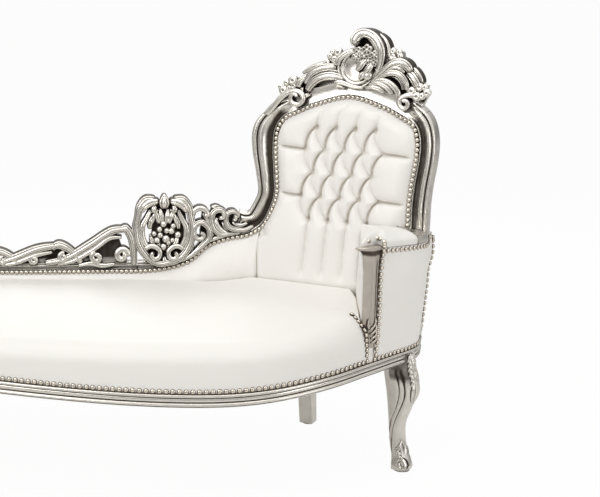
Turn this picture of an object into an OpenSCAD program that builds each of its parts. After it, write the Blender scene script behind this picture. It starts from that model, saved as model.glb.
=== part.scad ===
// Rococo chaise longue: a carved, silvered frame with a tufted high back at the head end,
// a low carved back along the rear, one closed arm and a long seat with a rounded foot end.
// Millimetres. X runs from the foot end to the head end, Y from the front to the rear, Z is up.

/* [Seat frame] */
// Length of the seat frame over its rails
seat_l = 1643; // [1450:10:1850]
// Depth of the seat frame, rear seat line to the front of the bulge
seat_d = 599; // [520:5:680]
// Height of the lowest point of the nail line on the front rail
nail_z = 295; // [270:1:320]
// Rise of the front rail from its lowest point to the legs
rail_sag = 25; // [5:1:40]
// Height of the carved moulding below the nail line
rail_h = 38; // [30:1:50]
// Thickness of the rails behind the covering
rail_t = 33; // [26:1:44]
// Height of the flat top of the rails
deck_z = 350; // [342:1:365]
// Width of a webbing strap
strap_w = 50; // [30:1:70]
// Thickness of a webbing strap
strap_t = 3; // [2:0.5:5]
// Number of webbing straps across the seat
straps = 9; // [6:1:12]

/* [Seat cushion] */
// Height of the rounded front shoulder above the deck
edge_h = 46; // [36:1:54]
// Depth of the rounded front shoulder
edge_r = 60; // [44:1:84]
// Height of the seat's crown above the shoulder
crown = 22; // [10:1:30]

/* [High back] */
// Turn of the high back towards the foot end, in degrees
back_turn = 28.9; // [20:0.1:36]
// Backward lean of the backs, in degrees
back_rake = 10; // [5:0.5:14]
// Half the width of the high back's covering between its nail lines
back_half_w = 196; // [180:1:215]
// Height of the nail line at the top of the arch
arch_z = 913; // [880:1:960]
// Width of the frame's moulding outside the nail line
frame_w = 50; // [42:1:60]
// Thickness of the frame from its rebate to its back
frame_t = 34; // [28:1:44]
// Depth of the rebate that takes the covering's edge
rebate = 3; // [2:0.5:5]
// Thickness of the high back's padding at seat level
back_pad = 31; // [20:1:45]
// Depth of a tuft below the pillows around it
tuft_d = 17; // [8:1:24]
// Spacing of the tufts in a row
tuft_w = 54.9; // [48:0.1:62]
// Spacing of the tuft rows
tuft_h = 61.7; // [54:0.1:68]
// Height of the crest's tallest scroll above the arch
crest_h = 176; // [150:1:200]

/* [Low back] */
// Height of the nail line where the low back meets the high back
low_z = 527; // [505:1:550]
// Height of the nail line under the cartouche
cartouche_z = 436; // [428:1:450]
// Length of the carved tail to the left of the cartouche
tail_l = 616; // [540:5:700]

/* [Arm] */
// Height of the arm's top rail at the post
arm_z = 590; // [560:1:610]
// Fall of the arm's top from the post to the stile
arm_fall = 22; // [10:1:30]
// Height of the arm pad's dome
arm_dome = 32; // [20:1:50]
// Width of the arm post
post_w = 48; // [40:1:60]
// Depth of the arm post
post_d = 23; // [18:1:32]
// Thickness of the upholstered arm panels
panel_t = 8; // [5:0.5:12]

/* [Legs] */
// Width of the legs' top blocks
block_w = 60; // [50:1:70]
// Half width of a cabriole ankle
ankle_r = 20; // [16:0.5:26]
// Width of a rear leg at the floor
rear_leg_w = 36; // [30:1:44]
// Backward splay of a rear leg at the floor
rear_splay = 40; // [20:1:50]
// Thickness of the felt glides under the legs
glide_t = 3; // [2:0.5:5]

/* [Nails] */
// Diameter of a nail head
nail_d = 11; // [8:0.5:12]
// Height of a nail head
nail_h = 4; // [3:0.25:5]
// Spacing of the nails
nail_pitch = 14.6; // [13:0.1:17]

/* [Hidden] */

// Shift that puts the origin under the middle of the whole piece
origin = [6, 213];
// Clearance between neighbouring pieces
gap = 0.3;
// How far the covering's edge lies outside its nail line
nail_edge = 6;
// Thickness of the covering that hangs over the rails, in their rebate
skirt_t = rebate - 5 * gap;
wood = [0.78, 0.77, 0.74];
hide = [0.95, 0.95, 0.93];

// Curves. Points of a list are joined by a smooth curve, u runs from 0 to 1.
function lerp(a, b, t) = a + (b - a) * t;
function clamp(x, a, b) = min(max(x, a), b);
function smooth(x) = let (t = clamp(x, 0, 1)) t * t * (3 - 2 * t);
function cubic(a, b, c, d, t) =
    0.5 * (2 * b + (c - a) * t + (2 * a - 5 * b + 4 * c - d) * t * t + (3 * b - a - 3 * c + d) * t * t * t);
function curve(p, u) = let (n = len(p) - 1, x = clamp(u, 0, 1) * n, i = min(floor(x), n - 1))
    cubic(p[max(i - 1, 0)], p[i], p[i + 1], p[min(i + 2, n)], x - i);
function heading(p, u) = let (d = curve(p, min(u + 0.002, 1)) - curve(p, max(u - 0.002, 0))) d / norm(d);
// Running length along a list of points
function lengths(p) = [for (i = 0, s = 0; i < len(p); i = i + 1, s = i < len(p) ? s + norm(p[i] - p[i - 1]) : s) s];
// Values of u at equal steps of about the given pitch, for points sampled at every u in us
function even(us, p, pitch) = let (s = lengths(p), total = s[len(s) - 1], n = max(round(total / pitch), 1),
    table = [for (i = [0:len(s) - 1]) [s[i], us[i]]]) [for (k = [0:n]) lookup(total * k / n, table)];

// A solid through a list of rings with the same number of points, closed by a fan at both ends.
// The fan's centre lies between the ring's middle and its first point.
function middle(r) = lerp([for (k = [0:2]) [for (p = r) p[k]] * [for (p = r) 1] / len(r)], r[0], 0.3);
function signed(pts, f) = [for (t = f) pts[t[0]] * cross(pts[t[1]], pts[t[2]])] * [for (t = f) 1];
module solid(pts, f) {
    inward = signed(pts, f) > 0;
    polyhedron(pts, [for (t = f) inward ? [t[2], t[1], t[0]] : t]);
}
module skin(rings) {
    n = len(rings);
    m = len(rings[0]);
    a = n * m;
    solid(concat([for (r = rings) each r], [middle(rings[0]), middle(rings[n - 1])]), concat(
        [for (i = [0:n - 2], j = [0:m - 1]) let (k = (j + 1) % m) each
            [[i * m + j, i * m + k, i * m + m + k], [i * m + j, i * m + m + k, i * m + m + j]]],
        [for (j = [0:m - 1]) let (k = (j + 1) % m) each
            [[a, k, j], [a + 1, (n - 1) * m + j, (n - 1) * m + k]]]));
}
// A solid between a front and a back grid of points, joined round their edges.
module sheet(front, back) {
    n = len(front);
    m = len(front[0]);
    b = n * m;
    rim = concat([for (j = [0:m - 2]) j], [for (i = [0:n - 2]) i * m + m - 1],
        [for (j = [m - 1:-1:1]) (n - 1) * m + j], [for (i = [n - 1:-1:1]) i * m]);
    solid(concat([for (r = front) each r], [for (r = back) each r]), concat(
        [for (i = [0:n - 2], j = [0:m - 2]) let (k = i * m + j) each [[k, k + 1, k + m + 1], [k, k + m + 1, k + m],
            [b + k, b + k + m + 1, b + k + 1], [b + k, b + k + m, b + k + m + 1]]],
        [for (i = [0:len(rim) - 1]) let (p = rim[i], q = rim[(i + 1) % len(rim)]) each
            [[p, b + p, b + q], [p, b + q, q]]]));
}

// Plan of the seat frame: the line of the covering, from the rear left corner round the foot end,
// along the front and back to the right stile.
nominal_l = 1643;
nominal_d = 599;
function plan(p) = [p[0] * seat_l / nominal_l, p[1] * seat_d / nominal_d];
// The middle of the high back's foot. The end of the line keeps its distance from it.
back_mid = plan([584.4, -35.8]);
outline = concat([for (p = [[-700, 66], [-785, 40], [-836, -25], [-852, -125], [-835, -235], [-780, -335],
    [-690, -405], [-545, -456], [-370, -508], [-170, -558], [50, -593], [235, -599], [377, -574], [510, -507]])
    plan(p)], [for (p = [[27.6, -425], [112.6, -347], [177.6, -277], [203.6, -190]]) [back_mid[0] + p[0], plan(p)[1]]]);
function rim(u, n = 0) = let (h = heading(outline, u)) curve(outline, u) + n * [h[1], -h[0]];
// u of a length d further along the outline
function along(u, d) = u + 0.01 * d / norm(curve(outline, u + 0.005) - curve(outline, u - 0.005));
u_right = 15.6 / 17;
u_left = 5.35 / 17;
u_post = 14.15 / 17;
bulge_x = plan([215, 0])[0];
right_x = back_mid[0] + 150.6;
left_x = plan([-690, 0])[0];
// Height of the nail line above the point of the rail with the given x
function line_z(x) = nail_z + rail_sag * (1 - cos(180 * clamp(x > bulge_x ? (x - bulge_x) / (right_x - bulge_x)
    : (bulge_x - x) / (bulge_x - left_x), 0, 1))) / 2;
module place() translate([origin[0], origin[1], 0]) children();

// Show rail: a hidden upright part behind the covering, and below the nail line a moulding
// with a bead at its top, a cove and a bead at its foot.
function rail_section(z) = [[-rail_t - rebate, z - rail_h], [0, z - rail_h], [6, z - rail_h + 2],
    [8, z - rail_h + 7], [5, z - rail_h + 11], [3, z - 20], [6, z - 14], [8, z - 10], [6, z - nail_edge],
    [-rebate, z - nail_edge], [-rebate, deck_z], [-rail_t - rebate, deck_z]];
module rail(ua, ub, n, to_stile = false) {
    skin([for (i = [0:n]) let (u = lerp(ua, ub, i / n), h = heading(outline, u))
        [for (q = rail_section(line_z(curve(outline, u)[0]))) let (p = rim(u, q[0]))
            [each p - (to_stile && q[1] > line_z(p[0]) ? 2 : 0) * [h[1], -h[0]] + (to_stile && i == n ? h * (depth_of(p, q[1]) + rebate - gap) / (h * away(back_turn)) : [0, 0]), q[1]]]]);
}
module front_rail() color(wood) place()
    rail(along(u_left, block_end), along(u_right, -block_end), 30);
module left_end_rail() color(wood) place() rail(0.004, along(u_left, -block_end), 16);
module right_side_rail() color(wood) place() rail(along(u_right, block_end), 0.97, 4, true);

// The backs lean on one surface: straight behind the high back, then bent into the line of the
// rear rail. sigma is the length along it from the middle of the high back, q stands forward.
bend_a = -215;
bend_l = 60;
bend_b = bend_a - bend_l;
bend_r = bend_l / (back_turn * PI / 180);
lean = tan(back_rake);
lean_z = 410;
function toward(a) = [cos(a), -sin(a)];
function away(a) = [sin(a), cos(a)];
function turn_at(g) = back_turn * clamp((g - bend_b) / bend_l, 0, 1);
bend_p = back_mid + bend_a * toward(back_turn) - bend_r * [sin(back_turn), cos(back_turn) - 1];
function foot_at(g) = g >= bend_a ? back_mid + g * toward(back_turn)
    : g > bend_b ? bend_p + bend_r * [sin(turn_at(g)), cos(turn_at(g)) - 1] : bend_p + [g - bend_b, 0];
function back_at(g, z, q) = [each foot_at(g) + away(turn_at(g)) * (lean * (z - lean_z) - q), z];
// How far a point stands in front of the high back's surface
function depth_of(p, z) = lean * (z - lean_z) - (p - back_mid) * away(back_turn);
function upright_at(g, z, q) = [each foot_at(g) - away(turn_at(g)) * q, z];
function sigma_of_x(x) = x - bend_p[0] + bend_b;
foot_g = sigma_of_x(plan([-690, 0])[0]);

// Nail line of the backs on that surface, from the tail over the low back and round the arch.
side_w = back_half_w - 196;
side = [[195, 300], [193, 450], [190, 590], [188, 645], [190, 700], [196, 765], [194, 812], [180, 847], [148, 866],
    [90, 892]];
function lift(z) = z < 700 ? z : 700 + (z - 700) * (arch_z - 700) / 213;
right_line = [for (p = side) [p[0] + side_w, lift(p[1])]];
left_line = [for (i = [9:-1:3]) [-right_line[i][0], right_line[i][1]]];
cart_g = -478;
tail_end = cart_g - 50 - tail_l;
low_line = [[tail_end, cartouche_z - 14], [lerp(tail_end, cart_g, 0.25), cartouche_z - 13],
    [lerp(tail_end, cart_g, 0.5), cartouche_z - 12], [lerp(tail_end, cart_g, 0.75), cartouche_z - 10],
    [cart_g - 31, cartouche_z - 7], [cart_g + 64, cartouche_z + 15], [-360, low_z - 33], [-304, low_z - 13],
    [-252 - side_w, low_z], [-222 - side_w, low_z + 30], [-201 - side_w, low_z + 78]];
back_line = concat(low_line, [for (i = [6:-1:0]) left_line[i]], [[0, arch_z]],
    [for (i = [9:-1:0]) right_line[i]]);
knots = len(back_line) - 1;
u_tail = 3.65 / knots;
u_cart = 5.33 / knots;
u_bend = 8.3 / knots;
u_left_joint = 15.1 / knots;
u_right_joint = (2 * 18 - 15.1) / knots;
// Points m outside the line: straight above it along the low back, square to it round the arch
function edge_at(u, m) = let (h = heading(back_line, u), t = smooth(u * knots - 7.3),
    d = lerp([0, 1], [-h[1], h[0]], t)) curve(back_line, u) + m * d / norm(d);
function on_line(u, m, q) = let (e = edge_at(u, m)) back_at(e[0], e[1], q);

// Moulding of the back frame: a rebate under the covering, a deep cove, a round bead, a quirk
// and an outer bead. grow widens it, flat takes the relief away.
function frame_section(grow, flat) = [for (p = [[-22, -rebate - frame_t], [-22, -rebate], [nail_edge + gap, -rebate],
    [8, 1], [14, -3], [22, -1], [28, 6], [34, 9], [40, 4], [43, 1], [47, 3], [frame_w, -3],
    [frame_w, -frame_t + 2], [frame_w - 5, -rebate - frame_t]])
    [p[0] > nail_edge + 1 ? nail_edge + (p[0] - nail_edge) * grow * frame_w / 50 : p[0],
     p[1] > -rebate ? lerp(p[1], -rebate, flat) : p[1]]];
function grow_at(u) = let (k = u * knots) lerp(lerp(lerp(0.42, 1.5, smooth((k - 7.2) / 0.8)), 1,
    smooth((k - 9) / 1.6)), 0.6, smooth(1 - abs(k - 18) / 2.6));
function flat_at(u) = smooth((u * knots - 25.4) / 0.8);
module frame(ua, ub, n) {
    skin([for (i = [0:n]) let (u = lerp(ua, ub, i / n))
        [for (p = frame_section(grow_at(u), flat_at(u))) on_line(u, p[0], p[1])]]);
}

// Carving. A stroke is a rounded ridge along a curve: its points, half widths and heights.
// A fourth value of 1 hollows the ridge. Each stroke is kept with a circle that holds it.
ground = -10;
function prepared(st, n = 9) = let (l = [for (i = [0:n]) [curve(st[0], i / n), curve(st[1], i / n), curve(st[2], i / n)]],
    c = (l[0][0] + l[round(n / 2)][0] + l[n][0]) / 3) [c, max([for (e = l) norm(e[0] - c) + e[1]]), l, len(st) > 3];
function profile(x, hollow) = !hollow ? sqrt(1 - x * x) : x < 0.72 ? 0.55 + 0.45 * pow(x / 0.72, 2)
    : sqrt(1 - pow((x - 0.72) / 0.28, 2));
function ridge(p, a, b, hollow) = let (d = b[0] - a[0], t = clamp((p - a[0]) * d / (d * d), 0, 1),
    x = norm(p - a[0] - t * d) / lerp(a[1], b[1], t))
    x < 1 ? lerp(ground, lerp(a[2], b[2], t), profile(x, hollow)) : ground;
function stroke_at(p, s) = norm(p - s[0]) > s[1] ? ground
    : max([for (i = [0:len(s[2]) - 2]) ridge(p, s[2][i], s[2][i + 1], s[3])]);
function spiral(c, r, a, turns, n = 9) = [for (i = [0:n]) let (t = i / n)
    c + lerp(r, 0.25 * r, t) * [cos(a + 360 * turns * t), sin(a + 360 * turns * t)]];
function volute(c, r, a, turns, w, h) = [spiral(c, r, a, turns), [w, 0.9 * w, 0.8 * w], [h, h, 1.4 * h]];
// A flower has five petals round a dip with a bud in it.
function flower_at(p, f) = let (v = p - f[0], r = norm(v) / (f[1] * (1 + 0.14 * cos(5 * atan2(v[1], v[0])))))
    r > 1 ? ground : lerp(ground, f[2], sqrt(1 - r * r)) - (r < 0.3 ? 0 : 0.12 * f[2] * (1 - cos(5 * atan2(v[1], v[0]))));

// Crest: heights are from the arch, cz gives a point.
cs = crest_h / 176;
function cz(s, h) = [s, arch_z + h * cs];
shield_c = cz(11, 81);
function shield_at(p) = let (f = norm([(p[0] - shield_c[0]) / 48, (p[1] - shield_c[1]) / 53 / cs]))
    f > 1 ? ground : f > 0.84 ? lerp(ground, 18, sqrt(1 - pow((f - 0.84) / 0.16, 2))) : 2 + 16 * pow(f / 0.84, 3);
crest_strokes = [
    // leaves to the left
    [[cz(-26, 62), cz(-70, 74), cz(-118, 50), cz(-150, 16)], [10, 13, 10, 5], [12, 18, 14, 8]],
    [[cz(-8, 38), cz(-60, 44), cz(-106, 24), cz(-136, -4)], [8, 11, 9, 4], [10, 16, 12, 6]],
    [[cz(0, 20), cz(-34, 22), cz(-66, 10), cz(-90, -4)], [7, 9, 8, 4], [14, 15, 12, 8]],
    // acanthus to the right
    [[cz(28, 40), cz(78, 80), cz(120, 92), cz(152, 78), cz(170, 44), cz(178, 18)], [7, 12, 13, 11, 6], [12, 22, 22, 18, 10]],
    [[cz(30, 36), cz(84, 60), cz(128, 60), cz(146, 36), cz(150, 12)], [6, 10, 10, 5], [12, 20, 18, 8]],
    [[cz(24, 32), cz(76, 40), cz(116, 30), cz(128, 6)], [6, 9, 8, 4], [14, 18, 15, 8]],
    [[cz(16, 24), cz(62, 22), cz(98, 8), cz(108, -8)], [5, 8, 7, 4], [14, 16, 14, 9]],
    // curl at the top, hollow in its middle
    [[cz(62, 34), cz(86, 62), cz(92, 100), cz(80, 142), cz(44, 162), cz(12, 150), cz(6, 130), cz(24, 122)],
        [8, 15, 15, 12, 9], [12, 26, 30, 26, 18], 1],
    // ends
    for (d = [-1, 1]) volute(cz(154 * d, -8), 20, 90 - 10 * d, 1.2 * d, 8, 15),
    for (d = [-1, 1]) [[cz(214 * d, -48), cz(204 * d, -16), cz(182 * d, 4), cz(156 * d, 12)], [5, 7, 8, 7.5], [12, 14, 15, 15]]];
crest_flowers = [[cz(-178, 28), 24, 20], [cz(186, 26), 24, 20], [cz(-56, 100), 25, 24], [cz(114, 122), 22, 22],
    [cz(44, 112), 26, 36], [cz(66, 84), 18, 30], for (a = [30:120:270]) [cz(28 + 11 * cos(a), 72 + 16 * sin(a)), 11, 24]];

// Low back: scrolls on the band above the nail line.
function lz(g, h) = [g, low_z + h];
low_strokes = [
    [[lz(-392, 8), lz(-394, 44), lz(-382, 76), lz(-364, 86)], [6, 8, 9, 7], [12, 14, 16, 14]],
    [[lz(-352, 62), lz(-346, 28), lz(-354, -2), lz(-372, -28)], [6, 8, 9, 5], [10, 14, 14, 10]],
    [[lz(-338, 74), lz(-348, 46), lz(-334, 16), lz(-300, 2)], [6, 8, 8, 5], [14, 14, 12, 6]],
    [[lz(-318, 66), lz(-318, 40), lz(-302, 22), lz(-272, 14)], [6, 7, 6, 4], [14, 13, 10, 6]],
    [[lz(-299, 68), lz(-296, 44), lz(-276, 30), lz(-256, 26)], [5, 6, 6, 4], [14, 13, 10, 8]],
    [[lz(-290, 74), lz(-276, 78), lz(-262, 79)], [5, 6, 5], [12, 11, 10]],
    volute(lz(-376, 14), 17, 200, -1.1, 8, 15), volute(lz(-367, 70), 13, 180, -1.1, 7, 15),
    volute(lz(-326, 62), 13, 180, -1.1, 7, 15), volute(lz(-288, 60), 12, 150, -1.1, 7, 15)];

// Cartouche: two C-scrolls back to back, a leaf plume on top, a shell and a bunch of berries.
function az(g, h) = [cart_g + 1.42 * g, cartouche_z + h];
cartouche_strokes = [for (d = [-1, 1]) each [
    [[az(8 * d, 172), az(38 * d, 168), az(54 * d, 132), az(50 * d, 84), az(34 * d, 46), az(12 * d, 36)],
        [7, 9, 10, 9, 8], [16, 18, 17, 15, 12], 1],
    [[az(6 * d, 186), az(26 * d, 192), az(48 * d, 170), az(58 * d, 138)], [6, 9, 8, 4], [18, 18, 12, 6]],
    [[az(4 * d, 150), az(22 * d, 130), az(28 * d, 100)], [7, 8, 5], [14, 16, 10]],
    volute(az(20 * d, 52), 12, d > 0 ? 250 : 290, 1.1 * d, 7, 16)],
    [[az(0, 150), az(0, 176), az(0, 196)], [10, 10, 5], [20, 22, 12]],
    [[az(0, 120), az(0, 90), az(0, 26)], [14, 30, 22], [2, 5, 5]]];
berries = [for (k = [0:7]) [az(-24 + 16 * (k % 4), 84 + 16 * floor(k / 4)), 9, 15]];

// Tail: leaf scrolls that fall towards the foot end and end in a volute.
function tz(t, h) = [lerp(cart_g - 88, tail_end, t), lerp(cartouche_z - 8, cartouche_z - 14, t) + h];
tail_strokes = [
    [[tz(-0.01, 12), tz(0.0, 84), tz(0.03, 116), tz(0.06, 110)], [6, 9, 9, 6], [12, 15, 16, 12]],
    [[tz(0.02, 114), tz(0.1, 110), tz(0.2, 74), tz(0.32, 36), tz(0.42, 24)], [6, 9, 10, 8, 6], [14, 16, 14, 12, 8]],
    [[tz(0.24, 22), tz(0.29, 56), tz(0.35, 74), tz(0.39, 62)], [6, 8, 9, 6], [10, 14, 15, 10]],
    [[tz(0.36, 72), tz(0.46, 62), tz(0.58, 36), tz(0.68, 24)], [6, 9, 9, 5], [12, 14, 12, 8]],
    [[tz(0.54, 22), tz(0.59, 46), tz(0.65, 58), tz(0.7, 46)], [5, 8, 8, 5], [10, 13, 13, 8]],
    [[tz(0.66, 54), tz(0.76, 46), tz(0.88, 30), tz(0.97, 24)], [5, 8, 8, 5], [10, 12, 10, 7]],
    volute(tz(0.05, 40), 18, -20, 1.2, 8, 14), volute(tz(0.17, 40), 15, 90, 1.1, 7, 14),
    volute(tz(0.94, 28), 15, 90, 1.1, 7, 14)];

carvings = [for (s = concat(crest_strokes, low_strokes, cartouche_strokes, tail_strokes)) prepared(s)];
flowers = concat(crest_flowers, berries);
function carved(p) = max(concat([shield_at(p)], [for (s = carvings) if (norm(p - s[0]) < s[1]) stroke_at(p, s)],
    [for (f = flowers) if (norm(p - f[0]) < 1.2 * f[1]) flower_at(p, f)]));

// A band of the frame with its carving: one surface of stations along the nail line, from the
// rebate out to the edge of the carving, and a flat back.
crown_line = [[8, 1], [14, -3], [22, -1], [28, 6], [34, 9], [40, 4], [43, 1], [47, 3], [frame_w, -3]];
function moulded(m, g) = lookup(nail_edge + (m - nail_edge) / g, crown_line);
function reach(u, w, far) = max(w, max([0, for (m = [w:3:far]) if (carved(edge_at(u, m)) > ground + 4) m + 1]));
module band(ua, ub, n, far, k) {
    rows = [for (i = [0:n]) let (u = lerp(ua, ub, i / n), g = grow_at(u), w = nail_edge + (frame_w - nail_edge) * g,
        e = reach(u, w, far), bead = nail_edge + 28 * g,
        ms = concat([for (p = [0:4]) nail_edge + (crown_line[p][0] - nail_edge) * g], [for (j = [1:k]) lerp(bead, e, j / k)]))
        concat([[u, -22, -rebate], [u, nail_edge + gap, -rebate]],
            [for (m = ms) [u, m, max(m < w + 0.1 ? moulded(m, g) : ground, carved(edge_at(u, m)))]])];
    f = len(rows[0]);
    m = f + 2;
    function back_of(p) = on_line(p[0], p[1], -rebate - frame_t);
    front = [for (r = rows) each concat([for (p = r) on_line(p[0], p[1], p[2])], [back_of(r[f - 1]), back_of(r[0])])];
    ends = [for (i = [0, n]) each [for (j = [1:f - 2]) back_of(rows[i][j])]];
    a = (n + 1) * m;
    // back points of an end station, from the rebate outwards
    function behind(e, j) = j == 0 ? e * n * m + m - 1 : j == f - 1 ? e * n * m + f : a + e * (f - 2) + j - 1;
    solid(concat(front, ends), concat(
        [for (i = [0:n - 1], j = [0:m - 1]) if (j != f || (i > 0 && i < n - 1)) let (b = i * m + j, c = i * m + (j + 1) % m) each
            [[b, c, c + m], [b, c + m, b + m]]],
        [for (e = [0, 1], j = [0:f - 2]) let (p = e * n * m + j, q = p + 1, r = behind(e, j), s = behind(e, j + 1)) each
            e == 0 ? [[p, r, s], [p, s, q]] : [[p, s, r], [p, q, s]]],
        [for (e = [0, 1], j = [0:f - 2]) let (o = (e == 0 ? m : (n - 1) * m) + m - 1) e == 0
            ? [o, behind(e, j + 1), behind(e, j)] : [o, behind(e, j), behind(e, j + 1)]],
        [[m + m - 1, m + f, f], [(n - 1) * m + m - 1, n * m + f, (n - 1) * m + f]]));
}
module crest_rail() color(wood) place() band(u_left_joint + 0.0004, u_right_joint - 0.0004, 76, 190 * cs, 12);
module left_stile() color(wood) place() frame(u_bend, u_left_joint, 22);
module right_stile() color(wood) place() frame(u_right_joint, 1, 14);
module low_back_rail() color(wood) place() band(u_cart + 0.0004, u_bend - 0.0004, 26, 120, 9);
module cartouche_rail() color(wood) place() band(u_tail + 0.0004, u_cart - 0.0004, 22, 210, 16);
module tail_rail() color(wood) place() band(0.0008, u_tail - 0.0004, 56, 150, 9);

// Rear rail and head rail: plain boards under the backs, upright, flush with the deck.
rail_foot = nail_z + rail_sag - rail_h;
function board(g, q0, q1, z0, z1) = [upright_at(g, z0, q0), upright_at(g, z1, q0), upright_at(g, z1, q1), upright_at(g, z0, q1)];
head_g = 232;
module rear_rail() color(wood) place()
    skin([for (g = [foot_g + block_w / 2 - 20, bend_b, bend_b + bend_l / 2, bend_a + 4])
        board(g, 6, -rebate - frame_t, rail_foot, deck_z)]);
module head_rail() color(wood) place()
    skin([for (g = [bend_a + 4 + gap, right_line[0][0] - 24]) board(g, 6, -rebate - frame_t, rail_foot, deck_z)]);

// Hidden uprights that carry the backs on the rear rail.
function post_board(g, w, z0, z1) = [for (z = [z0, z1])
    [back_at(g - w, z, -rebate - 9), back_at(g + w, z, -rebate - 9),
     back_at(g + w, z, -rebate - frame_t + 2), back_at(g - w, z, -rebate - frame_t + 2)]];
module back_posts() color("burlywood") place() {
    // under the left stile
    skin(post_board(-200, 16, deck_z + gap, low_z));
    for (g = [-340, cart_g, lerp(tail_end, cart_g, 0.5), tail_end + 30])
        skin(post_board(g, 14, deck_z + gap, low_edge(g - 14) - 23));
}

// Legs. A cabriole leg swells at the knee, draws in at the ankle and ends in a scroll toe.
// Each section is a height, the set-back of its middle, its half width and half depth, and how
// far it is shifted along the rail.
shoulder = rail_foot + rail_h - nail_edge;
leg_sections = [[glide_t, 5, 23, 26, 16], [14, 8, 24, 30, 16], [30, 4, 22, 27, 13], [52, -6, 19, 22, 9], [85, -15, 19, 20, 6],
    [120, -18, 20, 20.5, 4], [160, -14, 26, 28, 2], [200, -10, 33, 36, 0], [235, -14, 36, 38, 0], [262, -20, 35, 34, 0],
    [shoulder - 32, -14, 26, 24, 0], [shoulder - 1, -16, 26, 18, 0]];
block_end = block_w / 2 + 3;
function leg_ring(s, k) = [for (a = [0:30:330]) let (c = cos(a), n = sin(a), e = max(abs(c), abs(n)))
    [k * s[4] + s[2] * c / lerp(1, e, 0.55), s[1] + s[3] * n / lerp(1, e, 0.55), s[0]]];
module cabriole(u, side) {
    c = rim(u);
    h = heading(outline, u);
    slim = ankle_r / 20;
    // top block, a piece of the ring between the ends of two rails
    skin([for (t = [-1:0.4:1]) let (v = along(u, t * (block_end - gap)))
        [for (q = [[-rail_t - rebate, shoulder - 2], [-rebate, shoulder - 2], [-rebate, deck_z], [-rail_t - rebate, deck_z]])
            [each rim(v, q[0]), q[1]]]]);
    translate([c[0], c[1], glide_t]) rotate(atan2(h[1], h[0])) scale([1, -1, 1]) {
        skin([for (s = leg_sections) leg_ring([s[0] - glide_t, s[1],
            s[2] * (s[0] < 150 ? slim : 1), s[3] * (s[0] < 150 ? slim : 1), s[4]], side)]);
    }
}
module front_right_leg() color(wood) place() cabriole(u_right, -1);
module front_left_leg() color(wood) place() cabriole(u_left, 1);
function square_at(p, a, w, z) = [for (k = [[-1, -1], [1, -1], [1, 1], [-1, 1]])
    [each p + w / 2 * (k[0] * toward(a) + k[1] * away(a)), z]];
function leg_q(z) = (6 - rebate - frame_t) / 2 - rear_splay * (1 - z / rail_foot);
module rear_leg(g) {
    skin([for (z = [glide_t, 0.4 * rail_foot, rail_foot - gap]) let (t = z / rail_foot)
        square_at([each foot_at(g) - away(turn_at(g)) * leg_q(z)], turn_at(g), lerp(rear_leg_w, 44, t), z)]);
}
right_leg_g = -80;
left_leg_g = foot_g + 55;
module rear_right_leg() color(wood) place() rear_leg(right_leg_g);
module rear_left_leg() color(wood) place() rear_leg(left_leg_g);
module leg_glides() color("dimgray") place() {
    for (u = [u_left, u_right]) let (foot = leg_sections[0], d = (u == u_left ? 1 : -1) * foot[4])
        translate([each rim(u, foot[1]) + d * heading(outline, u), 0]) cylinder(r = 20, h = glide_t - 0.05, $fn = 40);
    for (g = [right_leg_g, left_leg_g])
        translate([each foot_at(g) - away(turn_at(g)) * leg_q(glide_t), 0])
            cylinder(r = rear_leg_w / 2 - 3, h = glide_t - 0.05, $fn = 40);
}
// Glue blocks in the corners of the seat frame
module corner_blocks() color("burlywood") place() {
    for (u = [u_left, u_right]) let (c = rim(u, -rail_t - rebate - 2), h = heading(outline, u))
        translate([c[0], c[1], shoulder + 1]) rotate(atan2(h[1], h[0])) translate([8 - block_w / 2, 0, 0])
            cube([block_w - 16, 24, deck_z - shoulder - 4]);
}

// Webbing across the deck, from the front rail to the rear rail.
function u_of_x(x) = lookup(x, [for (i = [0:80]) let (u = lerp(u_left, u_right, i / 80)) [curve(outline, u)[0], u]]);
function rear_y(x) = lookup(x, [for (g = [foot_g, bend_b, bend_b + 20, bend_b + 40, bend_a, head_g])
    let (p = foot_at(g)) [p[0], p[1]]]);
module seat_webbing() color("tan") place()
    for (k = [0:straps - 1]) let (x = lerp(left_x + 70, right_x - 196, k / (straps - 1)),
        y0 = max([for (d = [-1, 1]) curve(outline, u_of_x(x + d * strap_w / 2))[1]]) + 10, y1 = min(rear_y(x - strap_w / 2), rear_y(x + strap_w / 2)))
        translate([x - strap_w / 2, y0, deck_z + gap]) cube([strap_w, y1 - y0, strap_t]);

// Seat cushion: sides that hang over the rails, a deep rounded shoulder along the front and the
// foot end, a tighter edge against the backs and the arm, and a low crown.
seat_q = back_pad + 1.5;
inner_rear_g = 76;
seat_n = 72;
front_n = 44;
function rear_q(g, z) = g > seam_g - 34 ? seat_q : g < tail_end ? 17 : 3 + low_swell(g, max(z, pad_foot));
function seat_side(k, z) =
    k < front_n ? [each rim(lerp(0.006, u_post, k / front_n)), z]
    : k <= front_n + 1 ? [each rim(along(u_post, -post_half(z) - (k == front_n ? 0.6 : 4)), front_n - k), z]
    : k < 50 ? [each lerp(arm_inner(0, z), arm_inner(1, z), (k - 46) / 4.5) - [k == 46 ? 6 : 1.5, 0], z]
    : let (g = lerp(inner_rear_g - 12, foot_g, (k - 50) / 21)) back_at(g, z, rear_q(g, z));
function seat_spine(p) = [clamp(p[0], -600 * seat_l / nominal_l, 470 * seat_l / nominal_l), -250];
deck_top = deck_z + strap_t + 2 * gap;
seat_edge_z = deck_top + 2 + edge_h;
rear_edge_z = seat_edge_z + 8;
function seat_point(k, d, f, z) = let (p = seat_side(k, z), c = seat_spine(p), r = norm([p[0], p[1]] - c))
    [each lerp([p[0], p[1]], c, max(d / r, f)), z];
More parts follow.
